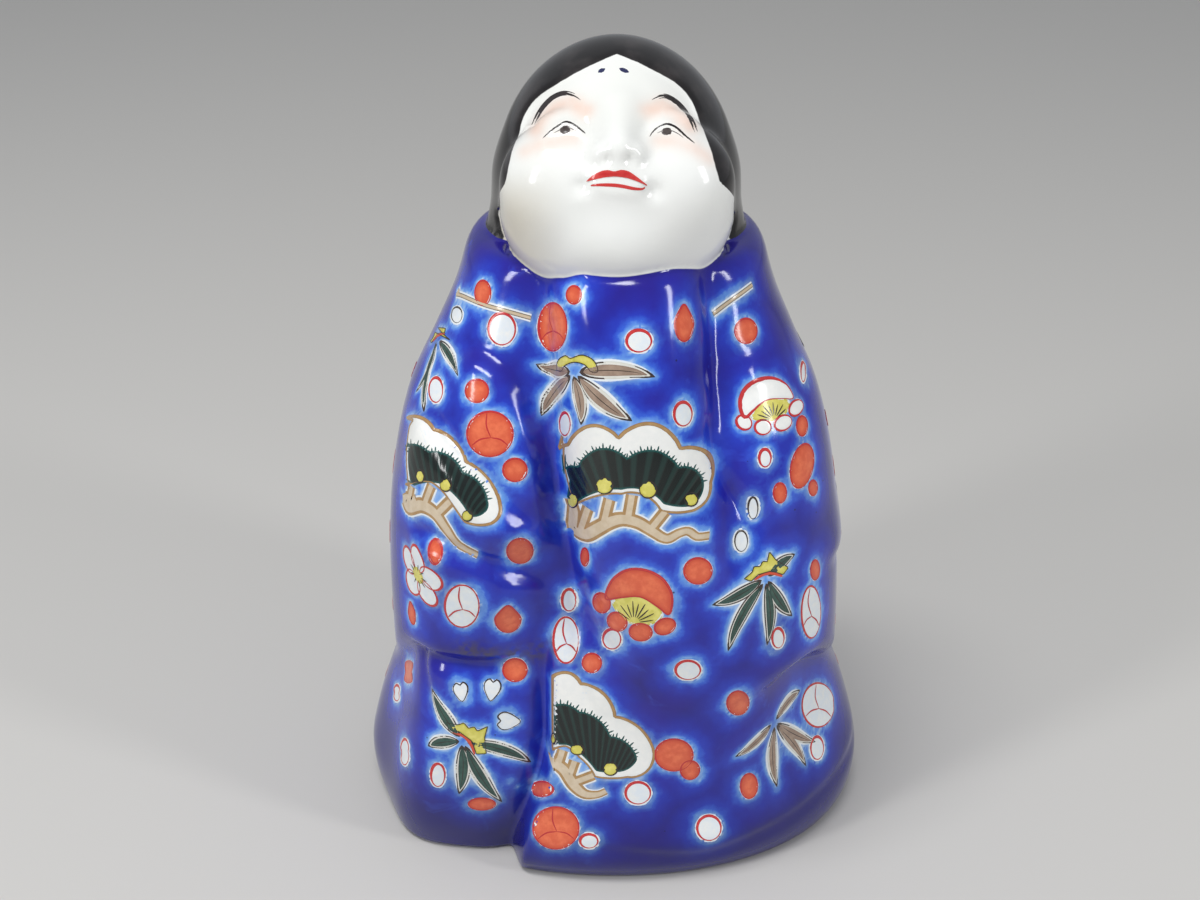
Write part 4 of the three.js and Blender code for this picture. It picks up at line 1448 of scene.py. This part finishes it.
class Nodes:
    """Short names for the shader nodes of one material."""

    def __init__(self, name):
        self.material = bpy.data.materials.new(name)
        self.material.use_nodes = True
        self.tree = self.material.node_tree
        self.shader = self.tree.nodes["Principled BSDF"]
        self.place = self.add("ShaderNodeTexCoord").outputs["Object"]

    def add(self, kind, inputs=None, **settings):
        node = self.tree.nodes.new(kind)
        for key, value in settings.items():
            setattr(node, key, value)
        for key, value in (inputs or {}).items():
            self.put(node.inputs[key], value)
        return node

    def put(self, socket, value):
        if isinstance(value, bpy.types.NodeSocket):
            self.tree.links.new(value, socket)
        else:
            socket.default_value = value

    def set(self, **values):
        for key, value in values.items():
            self.put(self.shader.inputs[key.replace("_", " ").title().replace("Ior", "IOR")], value)

    def value(self, label):
        return self.add("ShaderNodeAttribute", attribute_name=label).outputs["Fac"]

    def noise(self, size_mm, detail=3.0, roughness=0.5, distortion=0.0):
        inputs = {
            "Vector": self.place,
            "Scale": 1000 / size_mm,
            "Detail": detail,
            "Roughness": roughness,
            "Distortion": distortion,
        }
        return self.add("ShaderNodeTexNoise", inputs).outputs["Fac"]

    def spots(self, size_mm):
        inputs = {"Vector": self.place, "Scale": 1000 / size_mm}
        return self.add("ShaderNodeTexVoronoi", inputs).outputs["Distance"]

    def math(self, operation, a, b=0.0, c=0.0):
        return self.add("ShaderNodeMath", {0: a, 1: b, 2: c}, operation=operation).outputs[0]

    def step(self, value, low, high, to_low=0.0, to_high=1.0):
        inputs = {"Value": value, "From Min": low, "From Max": high, "To Min": to_low, "To Max": to_high}
        return self.add("ShaderNodeMapRange", inputs, interpolation_type="SMOOTHSTEP").outputs["Result"]

    def mix(self, factor, a, b, blend="MIX"):
        node = self.add("ShaderNodeMix", {0: factor}, data_type="RGBA", blend_type=blend)
        self.put(node.inputs[6], a)
        self.put(node.inputs[7], b)
        return node.outputs[2]

    def tint(self, base, amount, strength, other):
        """Another colour over the base, where the amount is high, and only as strong as that."""
        return self.mix(self.math("MULTIPLY", amount, strength), base, other)

    def ramp(self, value, stops):
        node = self.add("ShaderNodeValToRGB", {"Fac": value})
        elements = node.color_ramp.elements
        while len(elements) < len(stops):
            elements.new(0.5)
        for element, (at, color) in zip(elements, stops):
            element.position = at
            element.color = color
        return node.outputs["Color"]

    def bump(self, height, strength, distance_mm):
        inputs = {"Height": height, "Strength": strength, "Distance": distance_mm * MM}
        return self.add("ShaderNodeBump", inputs).outputs["Normal"]


def color(red_part, green_part, blue_part):
    """A colour given in the usual 0 to 255 screen values."""
    def linear(c):
        c /= 255
        return c / 12.92 if c <= 0.04045 else ((c + 0.055) / 1.055) ** 2.4
    return (linear(red_part), linear(green_part), linear(blue_part), 1)


def body_material():
    n = Nodes("porcelain glazes")
    is_head = n.step(n.value("above_robe"), -0.12, 0.12)
    edge = n.math("MULTIPLY_ADD", n.noise(2.0, 2.0), 0.3, -0.15)
    is_face = n.step(n.math("ADD", n.value("window"), edge), 0.1, -0.1)
    head_color = n.mix(is_face, hair_color(n), face_color(n))
    n.set(base_color=n.mix(is_head, robe_color(n), head_color), roughness=0.12)
    glaze = n.math("MULTIPLY_ADD", n.noise(0.8, 2.0), 0.25, n.noise(3.0, 2.0))
    n.put(n.shader.inputs["Normal"], n.bump(glaze, 0.12, 0.15))
    return n.material


def robe_color(n):
    """Cobalt enamel: thin and pale beside the white reserves, thick and violet away from them, with painted
    shade in its creases and towards its foot.
    """
    halo = n.value("halo")
    drift = n.math("MULTIPLY_ADD", n.noise(4.0, 5.0, 0.6), 3.6, -1.8)
    depth = n.math("ADD", halo, n.math("MULTIPLY", drift, n.step(halo, 0.15, 1.2)))
    blue = n.ramp(n.math("DIVIDE", depth, 7.0), [
        (0.0, color(190, 214, 238)),
        (0.05, color(104, 156, 228)),
        (0.12, color(54, 98, 212)),
        (0.25, color(35, 58, 186)),
        (0.55, color(30, 38, 160)),
        (1.0, color(30, 24, 128)),
    ])
    patches = n.step(n.noise(12.0, 4.0), 0.45, 0.66)
    blue = n.tint(blue, patches, 0.5, color(40, 26, 144))
    thin = n.step(n.noise(9.0, 4.0, 0.6, 0.6), 0.62, 0.74)
    blue = n.tint(blue, thin, 0.45, color(54, 84, 214))
    # Creases darkened to near-black navy: partly cobalt gathered in the hollows, partly painted shade.
    pooled_glaze_and_crease_shade = n.step(n.value("crease"), 0.25, 0.95)
    blue = n.tint(blue, pooled_glaze_and_crease_shade, 0.85, color(20, 20, 74))
    # Painted shade: the robe darkened towards its foot, over its lowest 30 mm.
    low = n.step(n.add("ShaderNodeSeparateXYZ", {0: n.place}).outputs["Z"], 0.03, 0.002)
    blue = n.tint(blue, low, 0.6, color(18, 18, 84))
    soiled = n.math("MULTIPLY", n.value("dirt"), n.step(n.noise(1.5, 4.0), 0.35, 0.6))
    blue = n.tint(blue, soiled, 0.75, color(74, 66, 62))
    pinholes = n.step(n.spots(5.0), 0.045, 0.03)
    return n.tint(blue, pinholes, 0.8, color(14, 14, 44))


def face_color(n):
    """White glaze, blushed at the brows and cheeks, with a few iron specks and painted warm shade on the
    lower-left cheek.
    """
    white = n.mix(n.step(n.noise(30.0, 2.0), 0.4, 0.7), color(238, 239, 236), color(231, 232, 227))
    # Painted shade: the lower-left cheek darkened to a warm grey.
    white = n.tint(white, n.value("painted_cheek_shade"), 0.8, color(206, 197, 176))
    blush_strength = n.math("MULTIPLY_ADD", n.noise(3.0, 3.0), 0.5, 0.3)
    white = n.tint(white, n.value("blush"), blush_strength, color(232, 186, 162))
    specks = n.step(n.spots(11.0), 0.025, 0.012)
    return n.tint(white, specks, 0.7, color(120, 92, 66))


def hair_color(n):
    black = n.mix(n.step(n.noise(6.0, 4.0), 0.45, 0.75), color(26, 24, 25), color(52, 48, 48))
    thin = n.math("MULTIPLY", n.value("worn"), n.step(n.noise(1.2, 4.0, 0.7), 0.4, 0.6))
    return n.tint(black, thin, 0.9, color(150, 148, 146))


def enamel_material(name, deep, light, rim_width=0.6, roughness=0.15):
    """Enamel that is deeper in colour at its rim, thin and light in places, and stands proud."""
    n = Nodes(name)
    thin = n.step(n.noise(1.6, 4.0, 0.6), 0.35, 0.7)
    rim = n.step(n.value("rim"), 0.0, rim_width)
    mixed = n.tint(deep, rim, n.math("MULTIPLY_ADD", thin, 0.6, 0.4), light)
    n.set(base_color=mixed, roughness=roughness)
    raised = n.math("MULTIPLY_ADD", n.noise(0.9, 2.0), 0.5, n.step(n.value("rim"), 0, 0.3))
    n.put(n.shader.inputs["Normal"], n.bump(raised, 0.35, 0.05))
    return n.material


def needle_material():
    """Pine needles: nearly black, brushed in fine strokes that fan upwards, teal at their tips."""
    n = Nodes("pine needles")
    across, along = n.value("across"), n.value("along")
    fan = n.math("ARCTAN2", across, n.math("ADD", along, 2.2))
    strokes = n.step(n.math("SINE", n.math("MULTIPLY", fan, 90.0)), -0.2, 0.9)
    dark = n.tint(color(20, 28, 27), strokes, 0.7, color(34, 58, 54))
    tips = n.step(n.value("rim"), 0.5, 0.0)
    n.set(base_color=n.tint(dark, tips, 0.8, color(24, 92, 88)), roughness=0.15)
    n.put(n.shader.inputs["Normal"], n.bump(strokes, 0.3, 0.05))
    return n.material


reserve.finish(enamel_material("white ground", color(214, 226, 238), color(234, 236, 234), 0.3))
snow.finish(enamel_material("white enamel", color(230, 232, 230), color(240, 240, 236), 0.8))
red.finish(enamel_material("orange-red enamel", color(206, 78, 54), color(232, 118, 80), 1.3))
red_lines.finish(enamel_material("red line", color(182, 42, 50), color(204, 60, 60), 0.2))
green.finish(needle_material())
green_leaves.finish(enamel_material("leaf green", color(30, 54, 50), color(60, 92, 82), 0.5))
brown_leaves.finish(enamel_material("leaf brown", color(132, 110, 96), color(168, 146, 128), 0.5))
pale_leaves.finish(enamel_material("pale enamel", color(206, 206, 198), color(224, 222, 214), 0.3))
dark_lines.finish(enamel_material("dark line", color(48, 38, 36), color(72, 58, 52), 0.2))
gold_lines.finish(enamel_material("gold-brown line", color(152, 116, 72), color(180, 146, 100), 0.2))
bark.finish(enamel_material("beige enamel", color(196, 176, 146), color(214, 198, 174), 0.4))
yellow.finish(enamel_material("yellow enamel", color(196, 188, 70), color(228, 220, 122), 0.5))
brow_lines.finish(enamel_material("soft black line", color(58, 52, 52), color(22, 19, 20), 0.18))
irises.finish(enamel_material("grey-brown enamel", color(92, 84, 82), color(58, 50, 48), 0.3))
navy.finish(enamel_material("navy enamel", color(54, 58, 96), color(34, 36, 70), 0.3))
lips.finish(enamel_material("lip red", color(206, 66, 62), color(190, 38, 40), 0.4))
body = make_body()
body.data.materials.append(body_material())


# The stage

def make_camera():
    data = bpy.data.cameras.new("camera")
    data.sensor_width = 36
    data.lens = FOCAL_PIXELS * data.sensor_width / PICTURE[0]
    data.clip_start = 0.01
    camera = linked("camera", data)
    camera.location = CAMERA_AT * MM
    camera.rotation_euler = (math.pi / 2 - CAMERA_PITCH, 0, 0)
    bpy.context.scene.camera = camera


def make_floor():
    n = Nodes("pale floor")
    n.set(base_color=color(205, 203, 199), roughness=0.6)
    mesh = bpy.data.meshes.new("floor")
    corners = [(-FLOOR_HALF, -FLOOR_HALF, 0), (FLOOR_HALF, -FLOOR_HALF, 0),
               (FLOOR_HALF, FLOOR_HALF, 0), (-FLOOR_HALF, FLOOR_HALF, 0)]
    mesh.from_pydata(corners, [], [(0, 1, 2, 3)])
    mesh.materials.append(n.material)
    linked("floor", mesh)


def soft_light(name, place, size, watts):
    data = bpy.data.lights.new(name, "AREA")
    data.shape = "RECTANGLE"
    data.size, data.size_y = size
    data.energy = watts
    light = linked(name, data)
    light.location = place
    light.rotation_euler = (Vector(LIGHT_TARGET) - Vector(place)).to_track_quat("-Z", "Y").to_euler()


def make_world():
    world = bpy.data.worlds.new("studio")
    world.use_nodes = True
    background = world.node_tree.nodes["Background"]
    background.inputs["Color"].default_value = (0.92, 0.95, 1, 1)
    background.inputs["Strength"].default_value = 0.38
    bpy.context.scene.world = world


make_camera()
make_floor()
make_world()
soft_light("window above", (-0.15, -0.25, 0.8), (0.5, 0.12), 3.2)
soft_light("window on -X", (-0.6, -0.45, 0.45), (0.12, 0.4), 2.2)
soft_light("window on +X", (0.6, -0.35, 0.4), (0.1, 0.35), 1.5)
bpy.context.scene.view_settings.view_transform = "Standard"
